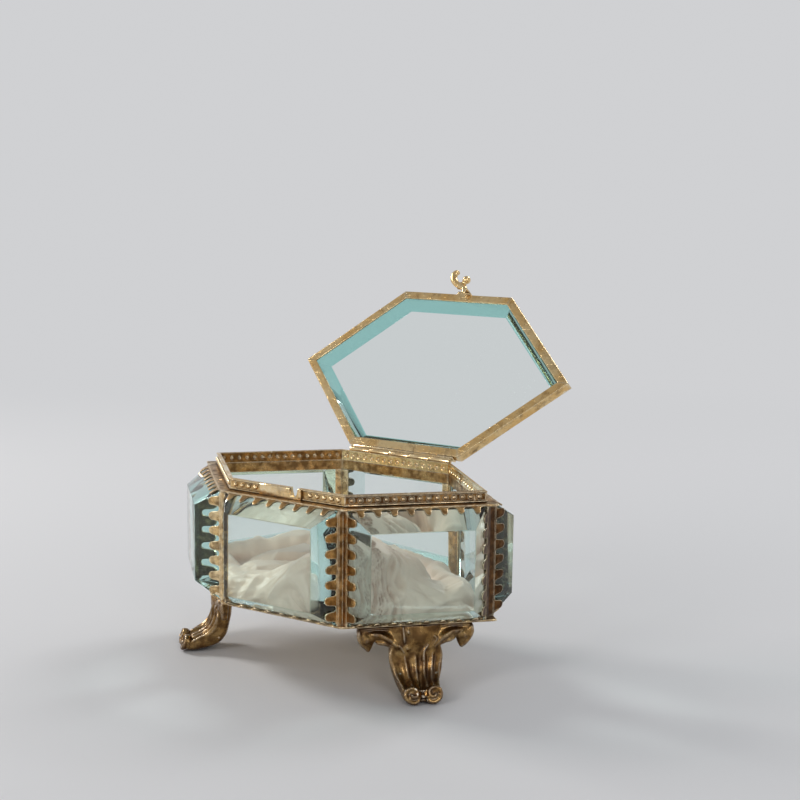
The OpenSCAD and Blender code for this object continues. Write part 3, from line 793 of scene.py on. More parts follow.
class CASKET_OT_stage(bpy.types.Operator):
    """Pale floor, soft lamps and the camera"""
    bl_idname = "casket.stage"
    bl_label = "Stage"

    def execute(self, context):
        scene = context.scene
        scene.view_settings.view_transform = "Standard"
        self.floor()
        for name, where, power, width, tone in LAMPS:
            lamp = bpy.data.lights.new(name, "AREA")
            lamp.energy, lamp.size, lamp.color = power, width, tone
            holder = linked(name, lamp)
            holder.location = where
            aim = Vector(LAMP_AIM) - Vector(where)
            holder.rotation_euler = aim.to_track_quat("-Z", "Y").to_euler()
        scene.world = self.studio()
        scene.camera = self.camera()
        return {"FINISHED"}

    @staticmethod
    def seen(m):
        """Rays that show the backdrop: straight ones, mirrored ones and through glass."""
        path = m.add("ShaderNodeLightPath")
        return m.math("MAXIMUM", m.out(path, "Is Camera Ray"), m.math(
            "MAXIMUM", m.out(path, "Is Glossy Ray"), m.out(path, "Is Transmission Ray")))

    def floor(self):
        """A wide disc that fades into the backdrop."""
        bm = bmesh.new()
        rings = [[bm.verts.new((r * math.cos(a), r * math.sin(a), 0.0))
                  for a in (2 * math.pi * j / 64 for j in range(64))]
                 for r in (0.02, 0.3, 0.9, 4.0)]
        bridge(bm, rings, True)
        bm.faces.new(rings[0])
        bmesh.ops.recalc_face_normals(bm, faces=bm.faces)
        bm.faces.ensure_lookup_table()
        bm.normal_update()
        if bm.faces[0].normal.z < 0:
            bmesh.ops.reverse_faces(bm, faces=bm.faces)
        mesh = mesh_of(bm, "floor")
        mesh.shade_smooth()
        linked("floor", mesh)
        made, m = start_material("pale_floor")
        shader = m.add("ShaderNodeBsdfPrincipled", {
            "Base Color": (*colours().floor, 1.0), "Roughness": 0.55,
            "Specular IOR Level": 0.3})
        far = m.add("ShaderNodeVectorMath", {0: m.place()}, operation="LENGTH")
        fade = m.add("ShaderNodeMapRange", {"Value": m.out(far, "Value"), "From Min": 0.16,
                                            "From Max": 0.62}, interpolation_type="SMOOTHSTEP")
        pale = m.add("ShaderNodeEmission", {"Color": (*colours().backdrop, 1.0)})
        both = m.add("ShaderNodeMixShader", {0: m.out(fade, "Result") * self.seen(m),
                                             1: m.out(shader), 2: m.out(pale)})
        m.add("ShaderNodeOutputMaterial", {"Surface": m.out(both)})
        mesh.materials.append(made)

    def studio(self):
        """A dim sky for light, and the pale backdrop for what is seen."""
        world = bpy.data.worlds.new("studio")
        world.use_nodes = True
        world.node_tree.nodes.clear()
        m = NodeMaker(world.node_tree)
        sky = m.add("ShaderNodeBackground", {"Color": (0.93, 0.95, 1.0, 1.0),
                                             "Strength": 0.26})
        way = m.out(m.add("ShaderNodeTexCoord"), "Generated")
        height = m.out(m.add("ShaderNodeSeparateXYZ", {0: way}), 2)
        pale = m.add("ShaderNodeBackground", {
            "Color": (*colours().backdrop, 1.0),
            "Strength": spread(m, height, 0.14, 0.7, 1.0, 0.62)})
        both = m.add("ShaderNodeMixShader", {0: self.seen(m), 1: m.out(sky),
                                             2: m.out(pale)})
        m.add("ShaderNodeOutputWorld", {"Surface": m.out(both)})
        return world

    @staticmethod
    def camera():
        camera = bpy.data.cameras.new("camera")
        camera.sensor_width, camera.lens = CAMERA_SENSOR, CAMERA_LENS
        camera.clip_start, camera.clip_end = 0.01, 20.0
        yaw, pitch, roll = (math.radians(a) for a in CAMERA_TURN)
        ahead = Vector((math.sin(yaw) * math.cos(pitch), math.cos(yaw) * math.cos(pitch),
                        -math.sin(pitch)))
        right = Vector((math.cos(yaw), -math.sin(yaw), 0))
        up = right.cross(ahead)
        right, up = (right * math.cos(roll) + up * math.sin(roll),
                     up * math.cos(roll) - right * math.sin(roll))
        turn = Matrix((right, up, -ahead)).transposed()
        holder = linked("camera", camera)
        holder.matrix_world = Matrix.Translation(Vector(CAMERA_PLACE)) @ turn.to_4x4()
        return holder


# ---- glass ----

class CASKET_OT_glass(bpy.types.Operator):
    """The six bevelled panes and the lid's glass, with ground edges"""
    bl_idname = "casket.glass"
    bl_label = "Bevelled glass"

    def execute(self, context):
        glass = finish_named("bevelled_glass")
        for name, angle in zip(SIDES, SIDE_ANGLE):
            node, a = "pane_" + name, math.radians(angle)
            facing = Vector((math.sin(a), -math.cos(a), 0))
            piece("glass_" + name, self.tinted(node, facing, 0.38), glass, "body",
                  [node], smooth=22)
        facing = opened().to_3x3() @ Vector((0, 0, 1))
        piece("lid_glass", self.tinted("lid_pane", facing, 1.0), glass, "lid",
              ["lid_pane"], smooth=22)
        return {"FINISHED"}

    @staticmethod
    def tinted(node, facing, tint):
        """A pane with its bevels and edges marked, where more green shows."""
        mesh = softened(node, 0.00018)
        mark = mesh.attributes.new("cut_tint", "FLOAT", "FACE")
        mark.data.foreach_set("value", [
            0.0 if abs(face.normal.dot(facing)) > 0.985 else tint for face in mesh.polygons])
        return mesh


# ---- rails and posts ----

def bevel_slope():
    """Angle between a pane's bevel and its face."""
    s = sizes()
    return math.atan2(s.pane_face - s.pane_edge, s.bevel)


def tab_sheet(tree, long, tabs, reach, tip, seed, dome, lift, thick):
    """A row of domed tabs of some thickness, with their edges rounded."""
    return grown(tree, {
        "Length": long, "Tabs": tabs, "Reach": reach, "Tip radius": tip,
        "Root": sizes().root, "Start": -0.00045, "Dome": dome, "Lift": lift,
        "Uneven": 0.05, "Seed": seed}, [
            ("SOLIDIFY", {"thickness": thick, "offset": 1.0, "use_even_offset": False}),
            ("BEVEL", {"width": 0.00013, "segments": 2, "limit_method": "ANGLE",
                       "angle_limit": SHARP, "use_clamp_overlap": True})])


class CASKET_OT_rails(bpy.types.Operator):
    """Upper and lower rails, folded over the panes in scalloped tongues"""
    bl_idname = "casket.rails"
    bl_label = "Scalloped rails"

    def execute(self, context):
        s = sizes()
        low, ledge, _ = heights()
        inner = s.sheet + s.bed
        tree = scallop_tree()
        long = s.side - 2 * s.pane_gap - ROW_PLAY
        under, over = ledge - s.sheet, low + s.sheet
        half_over = Matrix.Rotation(math.pi, 4, "Y")
        parts = (
            ("upper", ((-inner, ledge), (-inner, under - s.band), (-s.bed, under - s.band),
                       (-s.bed, under), (s.ledge, under), (s.ledge, ledge)),
             Matrix.Translation((0, -s.pane_edge, under - s.bed))),
            ("lower", ((-s.shelf, low), (s.ledge, low), (s.ledge, over), (-s.bed, over),
                       (-s.bed, over + s.lip), (-inner, over + s.lip), (-inner, over),
                       (-s.shelf, over)),
             Matrix.Translation((0, -s.pane_edge, over + s.bed)) @ half_over))
        onto_bevel = Matrix.Rotation(math.pi / 2 - bevel_slope(), 4, "X") \
            @ Matrix.Translation((0, 0, s.bed)) @ Matrix.Rotation(math.pi, 4, "Z")
        for k, name in enumerate(SIDES):
            place = on_side(k)
            for part, line, fold in parts:
                bm = bmesh.new()
                outline = rounded([Vector(p) for p in line], SHEET_BEND, 3)
                mitred_bar(bm, k, split_long(outline, LONGEST_EDGE), 40, place,
                           lambda p: wander(p + Vector((k, 0, 0)), 110) * 0.00006)
                sheet = tab_sheet(tree, long, s.rail_tabs, s.rail_reach, s.rail_tip,
                                  k * 7 + len(part), dome=0.00022, lift=0.00012,
                                  thick=0.00042)
                take(bm, sheet, place @ (fold @ onto_bevel))
                piece(part + "_rail_scalloped_" + name, bm, finish_named("worn_gilt"),
                      "body", [part + "_rail_" + name])
        return {"FINISHED"}


def off_side(h, along, out):
    """A point in a corner's frame, from how far along its side and out of it."""
    return Vector((along * math.cos(h) + out * math.sin(h),
                   along * math.sin(h) - out * math.cos(h)))


class CASKET_OT_posts(bpy.types.Operator):
    """Folded corner posts, scalloped on both sides"""
    bl_idname = "casket.posts"
    bl_label = "Corner posts"

    # Posts turned away from the key lamp get darker gilt: painted shade
    SHADE_PAINTED_TONES = {"front_right": "shaded_side_gilt", "right": "deepest_shaded_gilt"}

    def execute(self, context):
        s = sizes()
        low, ledge, _ = heights()
        slope = bevel_slope()
        inner, web = s.sheet + s.bed, s.pane_gap - s.bed
        skin = s.bed + 0.0005
        bottom, top = low + s.sheet + s.bed, ledge - s.sheet - s.bed
        flange_low = low + s.sheet + s.lip + s.bed
        flange_high = ledge - s.sheet - s.band - s.bed
        tree = scallop_tree()
        tall = top - bottom - ROW_PLAY
        for k, name in enumerate(CORNERS):
            h = half_turn(k)
            place = at_corner(k)
            fold = Vector((s.pane_gap - skin * math.sin(slope),
                           s.pane_edge + skin * math.cos(slope)))
            run = (fold.x * math.cos(h) + fold.y * math.sin(h)) / math.cos(slope - h)
            crease = off_side(h, fold.x - run * math.cos(slope), fold.y - run * math.sin(slope))
            inner_end, outer_end = off_side(h, web, 0), off_side(h, web, s.pane_edge)
            fold_end = off_side(h, *fold)
            bm = bmesh.new()
            one = [inner_end, outer_end, fold_end]
            other = [Vector((-p.x, p.y)) for p in reversed(one)]
            web_line = rounded([Vector((0, 0)), *one, crease, *other], POST_BEND, 2)
            prism(bm, split_long(web_line, LONGEST_EDGE), bottom, top, place, 30)
            line = [Vector((0, 0)), inner_end, off_side(h, web, -s.bed),
                    off_side(h, s.flange, -s.bed), off_side(h, s.flange, -inner),
                    Vector((0, inner / math.cos(h)))]
            flange = split_long(rounded(line, POST_BEND, 2), LONGEST_EDGE)
            start = off_side(h, s.pane_gap - s.bed * math.sin(slope),
                             s.pane_edge + s.bed * math.cos(slope))
            fold_up = Matrix.Translation((start.x, start.y, (bottom + top) / 2)) \
                @ Matrix.Rotation(h - slope, 4, "Z") @ Matrix((
                    (0, 1, 0, 0), (0, 0, -1, 0), (-1, 0, 0, 0), (0, 0, 0, 1)))
            for side, across in enumerate((1, -1)):
                mirror = Matrix.Scale(across, 4, (1, 0, 0))
                prism(bm, flange, flange_low, flange_high, place @ mirror, 24)
                sheet = tab_sheet(tree, tall, s.post_tabs, s.post_reach, s.post_tip,
                                  k * 5 + side * 31, dome=0.00020, lift=0.00010,
                                  thick=0.00046)
                take(bm, sheet, place @ mirror @ fold_up)
            tone = self.SHADE_PAINTED_TONES.get(name, "pale_gilt")
            piece("scalloped_post_" + name, bm, finish_named(tone), "body",
                  ["post_" + name])
        return {"FINISHED"}


# ---- gallery ----

class CASKET_OT_gallery(bpy.types.Operator):
    """Beaded gallery round the rim, dimpled behind, and its strike plate"""
    bl_idname = "casket.gallery"
    bl_label = "Beaded gallery"

    def execute(self, context):
        s = sizes()
        _, ledge, rim = heights()
        g, r = s.gallery, 0.00035
        beads = bead_tree()
        row = s.side * 0.96
        pitch = row / s.beads
        bead_z = (ledge + rim) / 2
        roll = [Vector((r * math.cos(a), rim - 0.0003 + 0.0003 * math.sin(a)))
                for a in (math.radians(d) for d in (90, 50, 15, -20, -60))]
        foot = [Vector((r * math.cos(a), ledge + 0.00026 + 0.00026 * math.sin(a)))
                for a in (math.radians(d) for d in (75, 30, 0, -30, -75))]
        outer = [Vector((-g + 0.0001, rim)), Vector((-0.0002, rim))] + roll + [
            Vector((0.00002, rim - 0.00065)), Vector((0.0, bead_z)),
            Vector((0.00002, ledge + 0.0006))] + foot
        inside = [Vector((-g, ledge + 0.00004 + (rim - ledge - 0.0001) * i / 14))
                  for i in range(15)]
        outline = outer + [Vector((-g + 0.0001, ledge))] + inside
        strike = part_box("strike_plate")
        edge = s.bead / 2
        for k, name in enumerate(SIDES):
            place = on_side(k)
            bm = bmesh.new()
            skip = (strike[0].x - edge, strike[1].x + edge) if k == 0 else (1.0, -1.0)

            def press(p, k=k, skip=skip):
                move = wander(p + Vector((0, k, 0)), 90, 3.0) * 0.00005
                if p.y > g * 0.9 and not skip[0] < p.x < skip[1]:
                    near = round((p.x + row / 2) / pitch - 0.5)
                    if 0 <= near < s.beads:
                        x = -row / 2 + (near + 0.5) * pitch
                        d = math.hypot(p.x - x, p.z - bead_z) / (s.bead * 0.46)
                        if d < 1:
                            move.y -= s.dimple * (1 - d * d) ** 0.7
                return move

            mitred_bar(bm, k, outline, 160, place, press)
            shown = grown(beads, {
                "Length": row, "Beads": s.beads, "Diameter": s.bead, "Uneven": 0.08,
                "Seed": 11 + k, "Skip from": skip[0], "Skip to": skip[1]})
            take(bm, shown, place @ Matrix.Translation((0, -0.00005, bead_z)))
            # The front right and back left galleries show faces turned from the key lamp; their
            # darker gilt is painted shade
            tone = "shaded_side_gilt" if k in (1, 4) else "gilt_brass"
            made = piece("beaded_gallery_" + name, bm, finish_named(tone), "body",
                         ["gallery_" + name])
            if k == 0:
                self.cut_notch(made, rim)
        piece("strike_plate_worn", softened("strike_plate", 0.0001), finish_named("gilt_brass"),
              "body", ["strike_plate"])
        return {"FINISHED"}

    @staticmethod
    def cut_notch(made, rim):
        """Files the catch's notch out of the front gallery."""
        x, w, d = 0.003, 0.0026, 0.0023
        bm = bmesh.new()
        line = [Vector(p) for p in ((x - w / 2, 0.001), (x - w / 2, -d / 3), (x - w / 3, -d),
                                    (x + w / 3, -d), (x + w / 2, -d / 3), (x + w / 2, 0.001))]
        stand = Matrix.Translation((0, -front_line(), rim)) \
            @ Matrix.Rotation(math.pi / 2, 4, "X")
        prism(bm, line, -0.003, 0.003, stand)
        bmesh.ops.recalc_face_normals(bm, faces=bm.faces)
        cutter = linked("notch", mesh_of(bm, "notch"))
        cut = made.modifiers.new("notch", "BOOLEAN")
        cut.object, cut.operation, cut.solver = cutter, "DIFFERENCE", "EXACT"
        whole, notched, tool = made.data, evaluated(made), cutter.data
        made.modifiers.remove(cut)
        name = whole.name
        made.data = notched
        bpy.data.meshes.remove(whole)
        notched.name = name
        bpy.data.objects.remove(cutter)
        bpy.data.meshes.remove(tool)


# ---- feet ----

class CASKET_OT_feet(bpy.types.Operator):
    """Three cast feet: drooping leaves, a fluted leg and two scrolled toes"""
    bl_idname = "casket.feet"
    bl_label = "Cast feet"

    def execute(self, context):
        mould = self.mould()
        tone = finish_named("cast_brass")
        for k, node in FOOT_SIDES:
            bm = bmesh.new()
            take(bm, mould, on_side(k))
            piece(node + "_cast", bm, tone, "body", [node], smooth=0)
        return {"FINISHED"}

    # Raised lines of the casting, seen from the front: points (x, z), width, height
    LINES = (
        (((5.0, 12.9), (7.4, 15.0), (10.0, 16.3), (12.4, 16.5)), 0.85, 1.05),
        (((6.0, 12.7), (8.4, 14.0), (10.4, 14.3)), 0.6, 0.8),
        (((15.4, 17.4), (15.2, 15.8), (14.3, 13.9), (12.7, 12.0)), 0.55, 0.9),
        (((13.2, 15.6), (13.3, 14.6)), 1.2, 0.8),
        (((6.5, 17.6), (10.0, 18.0), (14.6, 17.8)), 0.4, 0.5),
        (((6.3, 12.9), (6.7, 9.2), (5.8, 6.0), (4.9, 4.2)), 0.5, 0.75),
    )
    ODD_LINES = (
        (((1.0, 16.2), (1.1, 14.4)), 2.1, 0.9),
        (((-3.7, 18.2), (-3.4, 15.8), (-3.2, 14.0)), 0.45, 0.9),
        (((-2.4, 17.6), (-2.2, 16.4)), 0.5, 0.6),
        (((-2.6, 13.2), (-2.4, 12.0)), 0.5, 0.5),
        (((3.3, 13.8), (1.9, 12.0), (1.6, 9.4)), 0.42, 0.8),
        (((4.6, 15.8), (5.4, 14.6), (4.2, 12.8)), 0.4, 0.6),
        (((-5.8, 13.6), (-4.4, 13.0), (-3.4, 11.4)), 0.4, 0.6),
    )

    def mould(self):
        """One foot in side coordinates: x across, -y outwards, z up."""
        bm = bmesh.new()
        self.leg(bm)
        for side in (-1, 1):
            self.leaf(bm, side)
            self.scroll(bm, side)
        bmesh.ops.recalc_face_normals(bm, faces=bm.faces)
        done = finished(bm, [
            ("REMESH", {"mode": "VOXEL", "voxel_size": 0.00024, "use_smooth_shade": True}),
            ("SMOOTH", {"factor": 0.5, "iterations": 4})])
        self.chase(done)
        done = finished(done, [("SMOOTH", {"factor": 0.3, "iterations": 1})])
        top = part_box("foot_back")[1].z
        for v in done.vertices:
            v.co.z = min(max(v.co.z, 0.00002), top)
        return done

    def chase(self, mesh):
        """Raises the lines and sinks the flutes on the front of the casting."""
        places = numpy.array([v.co for v in mesh.vertices]) / MM
        normals = numpy.array([v.normal for v in mesh.vertices])
        x, out, z = places[:, 0], -places[:, 1], places[:, 2]
        raised = numpy.zeros(len(places))
        both = [(line, w, h, numpy.abs(x)) for line, w, h in self.LINES]
        for line, w, h, across in both + [(*odd, x) for odd in self.ODD_LINES]:
            line = [tuple(p) for p in curve_through([(*p, 0) for p in line], 5)]
            count = len(line) - 1
            for i, ((ax, az, _), (bx, bz, _)) in enumerate(zip(line, line[1:])):
                dx, dz = bx - ax, bz - az
                t = ((across - ax) * dx + (z - az) * dz) / (dx * dx + dz * dz)
                t = numpy.clip(t, 0, 1)
                far = numpy.hypot(across - ax - t * dx, z - az - t * dz)
                full = numpy.sin(math.pi * (0.12 + 0.76 * (i + t) / count)) ** 0.8
                raised = numpy.maximum(raised, h * full * numpy.exp(
                    -(far / (w * (0.45 + 0.55 * full))) ** 2))
        wide = numpy.interp(z, (0, 4.5, 6, 9, 12.5, 18.6), (4.9, 5.2, 5.7, 6.7, 7.2, 7.2))
        share = x / wide
        waves = 1 - numpy.abs(numpy.sin(math.pi * (2.7 * share + 0.35 * share ** 2 + 0.2)))
        fade = numpy.clip((12.2 - z) / 2.5, 0, 1) * numpy.clip((10.6 - out) / 1.5, 0, 1)
        fade *= numpy.abs(share) < 1.0
        raised += 0.95 * (waves ** 0.8 - 0.45) * fade
        split = numpy.exp(-(x / 0.8) ** 2) * numpy.clip((out - 5.5) / 3, 0, 1)
        raised -= 1.3 * split
        facing = numpy.clip((-normals[:, 1] + 0.55 * numpy.maximum(normals[:, 2], 0)) * 1.6,
                            0, 1)
        places += normals * (raised * facing)[:, None]
        for v, p in zip(mesh.vertices, places * MM):
            p = Vector(p)
            v.co = p + wander(p, 420, 5.0) * 0.00008 + wander(p, 160, 9.0) * 0.00012

    @staticmethod
    def leg(bm):
        """The leg, from under the body down to the toes."""
        # Its back and front as (out, up), and its half widths, in millimetres
        back = curve_through([(-2.4, 18.5), (-1.9, 12.5), (-1.2, 8.6), (-0.4, 5.0),
                              (1.4, 2.5), (4.4, 1.1), (8.6, 0.3), (11.6, 0.5)], 6)
        front = curve_through([(3.0, 18.5), (3.2, 13.0), (3.5, 9.8), (4.6, 7.2), (6.5, 5.4),
                               (9.0, 4.4), (11.2, 3.5), (12.6, 2.3)], 6)
        wide = curve_through([(6.6, 0), (7.0, 0), (6.9, 0), (6.4, 0), (5.8, 0), (5.3, 0),
                              (5.1, 0), (4.7, 0)], 6)
        rings, across = [], 28
        for b, f, w in zip(back, front, wide):
            middle, out = (b + f) / 2, (f - b) / 2
            ring = []
            for j in range(2 * across):
                a = math.pi * j / across
                u, v = math.cos(a), math.sin(a)
                u = math.copysign(abs(u) ** 0.65, u)
                v = math.copysign(abs(v) ** 0.6, v)
                q = middle + out * v
                ring.append(bm.verts.new(Vector((u * w.x, -q.x, q.y)) * MM))
            rings.append(ring)
        tube(bm, rings)

    @staticmethod
    def leaf(bm, side):
        """A leaf that leaves the leg's shoulder and droops at its tip."""
        # Its lower edge as (across, up), in millimetres; the upper edge is level
        lower = curve_through([(3.5, 12.4), (6.2, 12.5), (8.8, 13.0), (10.2, 13.3),
                               (11.1, 14.2), (11.9, 12.3), (12.8, 11.6), (14.0, 13.0),
                               (15.2, 15.0), (15.7, 16.8), (15.7, 18.0)], 4)
        rows = 12
        fronts, backs = [], []
        for i, p in enumerate(lower):
            t = i / (len(lower) - 1)
            upper = Vector((p.x * (1 - 0.04 * t), 18.55))
            for grid, back in ((fronts, False), (backs, True)):
                line = []
                for j in range(rows + 1):
                    q = j / rows
                    at = p.lerp(upper, q)
                    out = 1.5 + 0.9 * math.sin(math.pi * min(1, q * 1.2)) * (1 - 0.3 * t)
                    if back:
                        out = 0.3
                    line.append(bm.verts.new(Vector((side * at.x, -out, at.y)) * MM))
                grid.append(line)
        bridge(bm, fronts, False)
        bridge(bm, backs, False)
        for pick in (lambda g: g[0], lambda g: [r[-1] for r in g], lambda g: g[-1],
                     lambda g: [r[0] for r in g]):
            bridge(bm, [pick(fronts), pick(backs)], False)

    @staticmethod
    def scroll(bm, side):
        """A spiral boss on the front of a toe."""
        up = Vector((0, -0.92, 0.38)).normalized()
        across = Vector((1, 0, 0))
        rise = up.cross(across)
        centre = Vector((side * 2.85, -11.3, 2.75))
        path = []
        for i in range(46):
            t = i / 45
            a = math.radians(150 + 560 * t)
            r = 2.35 * (1 - t) ** 0.8 + 0.35
            path.append((centre + across * side * r * math.cos(a) + rise * r * math.sin(a)
                         * 0.95 + up * (0.15 + 0.85 * t)) * MM)
        sweep(bm, path, lambda t: ((0.62 - 0.2 * t) * MM, (0.62 - 0.1 * t) * MM), up, 10)
        boss = bmesh.ops.create_uvsphere(bm, u_segments=16, v_segments=10, radius=1.0)
        place = Matrix.Translation((centre - up * 0.6) * MM) @ Matrix.Diagonal(
            (2.5 * MM, 1.2 * MM, 2.35 * MM, 1))
        for v in boss["verts"]:
            v.co = place @ v.co


# ---- hinge, lid frame, clasp ----

class CASKET_OT_hinge(bpy.types.Operator):
    """Hinge leaves with their knuckles, and the pin"""
    bl_idname = "casket.hinge"
    bl_label = "Hinge"

    def execute(self, context):
        for node, body, tone, slot in (
                ("hinge_leaf_body", "body", "gilt_brass", "gilt_brass"),
                ("hinge_pin", "body", "worn_gilt", "worn_gilt"),
                ("hinge_leaf_lid", "lid", "gilt_brass", "gilt_brass")):
            piece(node + "_worn", softened(node, 0.00008, 2, 0.5), finish_named(tone), body,
                  [node])
        return {"FINISHED"}


class CASKET_OT_lid_frame(bpy.types.Operator):
    """Channel of gilt sheet round the lid's glass"""
    bl_idname = "casket.lid_frame"
    bl_label = "Lid frame"

    def execute(self, context):
        s = sizes()
        _, _, rim = heights()
        z = rim + 0.0001
        turn = opened()
        line = [Vector(p) for p in (
            (s.lid_over, z), (s.lid_over, z + s.lid_wall), (-0.0005, z + s.lid_wall),
            (-0.00008, z + 0.0029), (-0.00008, z + s.sheet), (-s.lid_lip, z + s.sheet),
            (-s.lid_lip, z))]
        outline = split_long(rounded(line, 0.0002, 3), 0.0006)
        bm = bmesh.new()
        for k in range(6):
            def dent(p, k=k):
                q = p + Vector((k * 0.3, 0, 0))
                return Vector((0, wander(q, 60, 2.0).y * 0.00009, wander(q, 140, 4.0).z
                               * 0.00005))
            mitred_bar(bm, k, outline, 48, turn @ on_side(k), dent)
        piece("lid_frame_gilt", bm, finish_named("gilt_brass"), "lid",
              ["lid_frame"])
        return {"FINISHED"}


class CASKET_OT_clasp(bpy.types.Operator):
    """Cast thumb clasp: foot, spring leg, scroll and berry"""
    bl_idname = "casket.clasp"
    bl_label = "Clasp"

    def execute(self, context):
        _, _, rim = heights()
        z = rim + 0.0017

        def at(x, out, up=0.0):
            return Vector((x * MM, -front_line() - out * MM, z + up * MM))

        bm = bmesh.new()
        path = curve_through([at(1.3, 0.9), at(1.1, 2.4), at(0.5, 3.6), at(-0.9, 4.35),
                              at(-2.45, 4.95), at(-3.75, 6.0), at(-4.5, 7.2),
                              at(-4.6, 8.4), at(-4.05, 9.2), at(-3.3, 9.3)], 6)

        def girth(t):
            wide = 1.5 - 0.55 * math.sin(math.pi * min(1, t * 2.6)) if t < 0.38 else \
                0.98 + 0.16 * math.sin(math.pi * (t - 0.38) / 0.62)
            wide *= 1 - 0.5 * max(0, t - 0.85) / 0.15
            return wide * MM, (1.1 - 0.25 * t) * MM

        sweep(bm, path, girth, Vector((0, 0, 1)), 16)
        berry = bmesh.ops.create_uvsphere(bm, u_segments=20, v_segments=14, radius=1.32 * MM)
        bmesh.ops.translate(bm, verts=berry["verts"], vec=at(0.3, 6.7))
        stalk = curve_through([at(0.1, 4.1), at(0.25, 5.2), at(0.3, 6.2)], 4)
        sweep(bm, stalk, lambda t: (0.55 * MM, 0.55 * MM), Vector((0, 0, 1)), 10)
        for x0, x1, o0, o1, z0, z1 in (
                (-0.4, 3.9, 0.53, 1.75, -1.35, 1.3), (2.15, 3.85, 1.22, 1.8, -3.65, 0.0),
                (2.4, 3.6, 0.2, 1.6, -3.65, -3.1)):
            bmesh.ops.convex_hull(bm, input=[
                bm.verts.new(at(x, o, u)) for x in (x0, x1) for o in (o0, o1)
                for u in (z0, z1)])
        bmesh.ops.recalc_face_normals(bm, faces=bm.faces)
        cast = finished(bm, [
            ("REMESH", {"mode": "VOXEL", "voxel_size": 0.00016, "use_smooth_shade": True}),
            ("SMOOTH", {"factor": 0.5, "iterations": 3})])
        cast.transform(opened())
        piece("clasp_cast", cast, finish_named("gilt_brass"), "lid", ["clasp"],
              smooth=0)
        return {"FINISHED"}


# ---- silk ----

def clear_of_walls(x, y, out):
    """How far a point lies inside the plan when that is moved outwards."""
    least = 1.0
    for k in range(6):
        a = math.radians(SIDE_ANGLE[k])
        c = corner(k)
        away = (x - c.x) * math.sin(a) - (y - c.y) * math.cos(a)
        least = min(least, out - away)
    return least


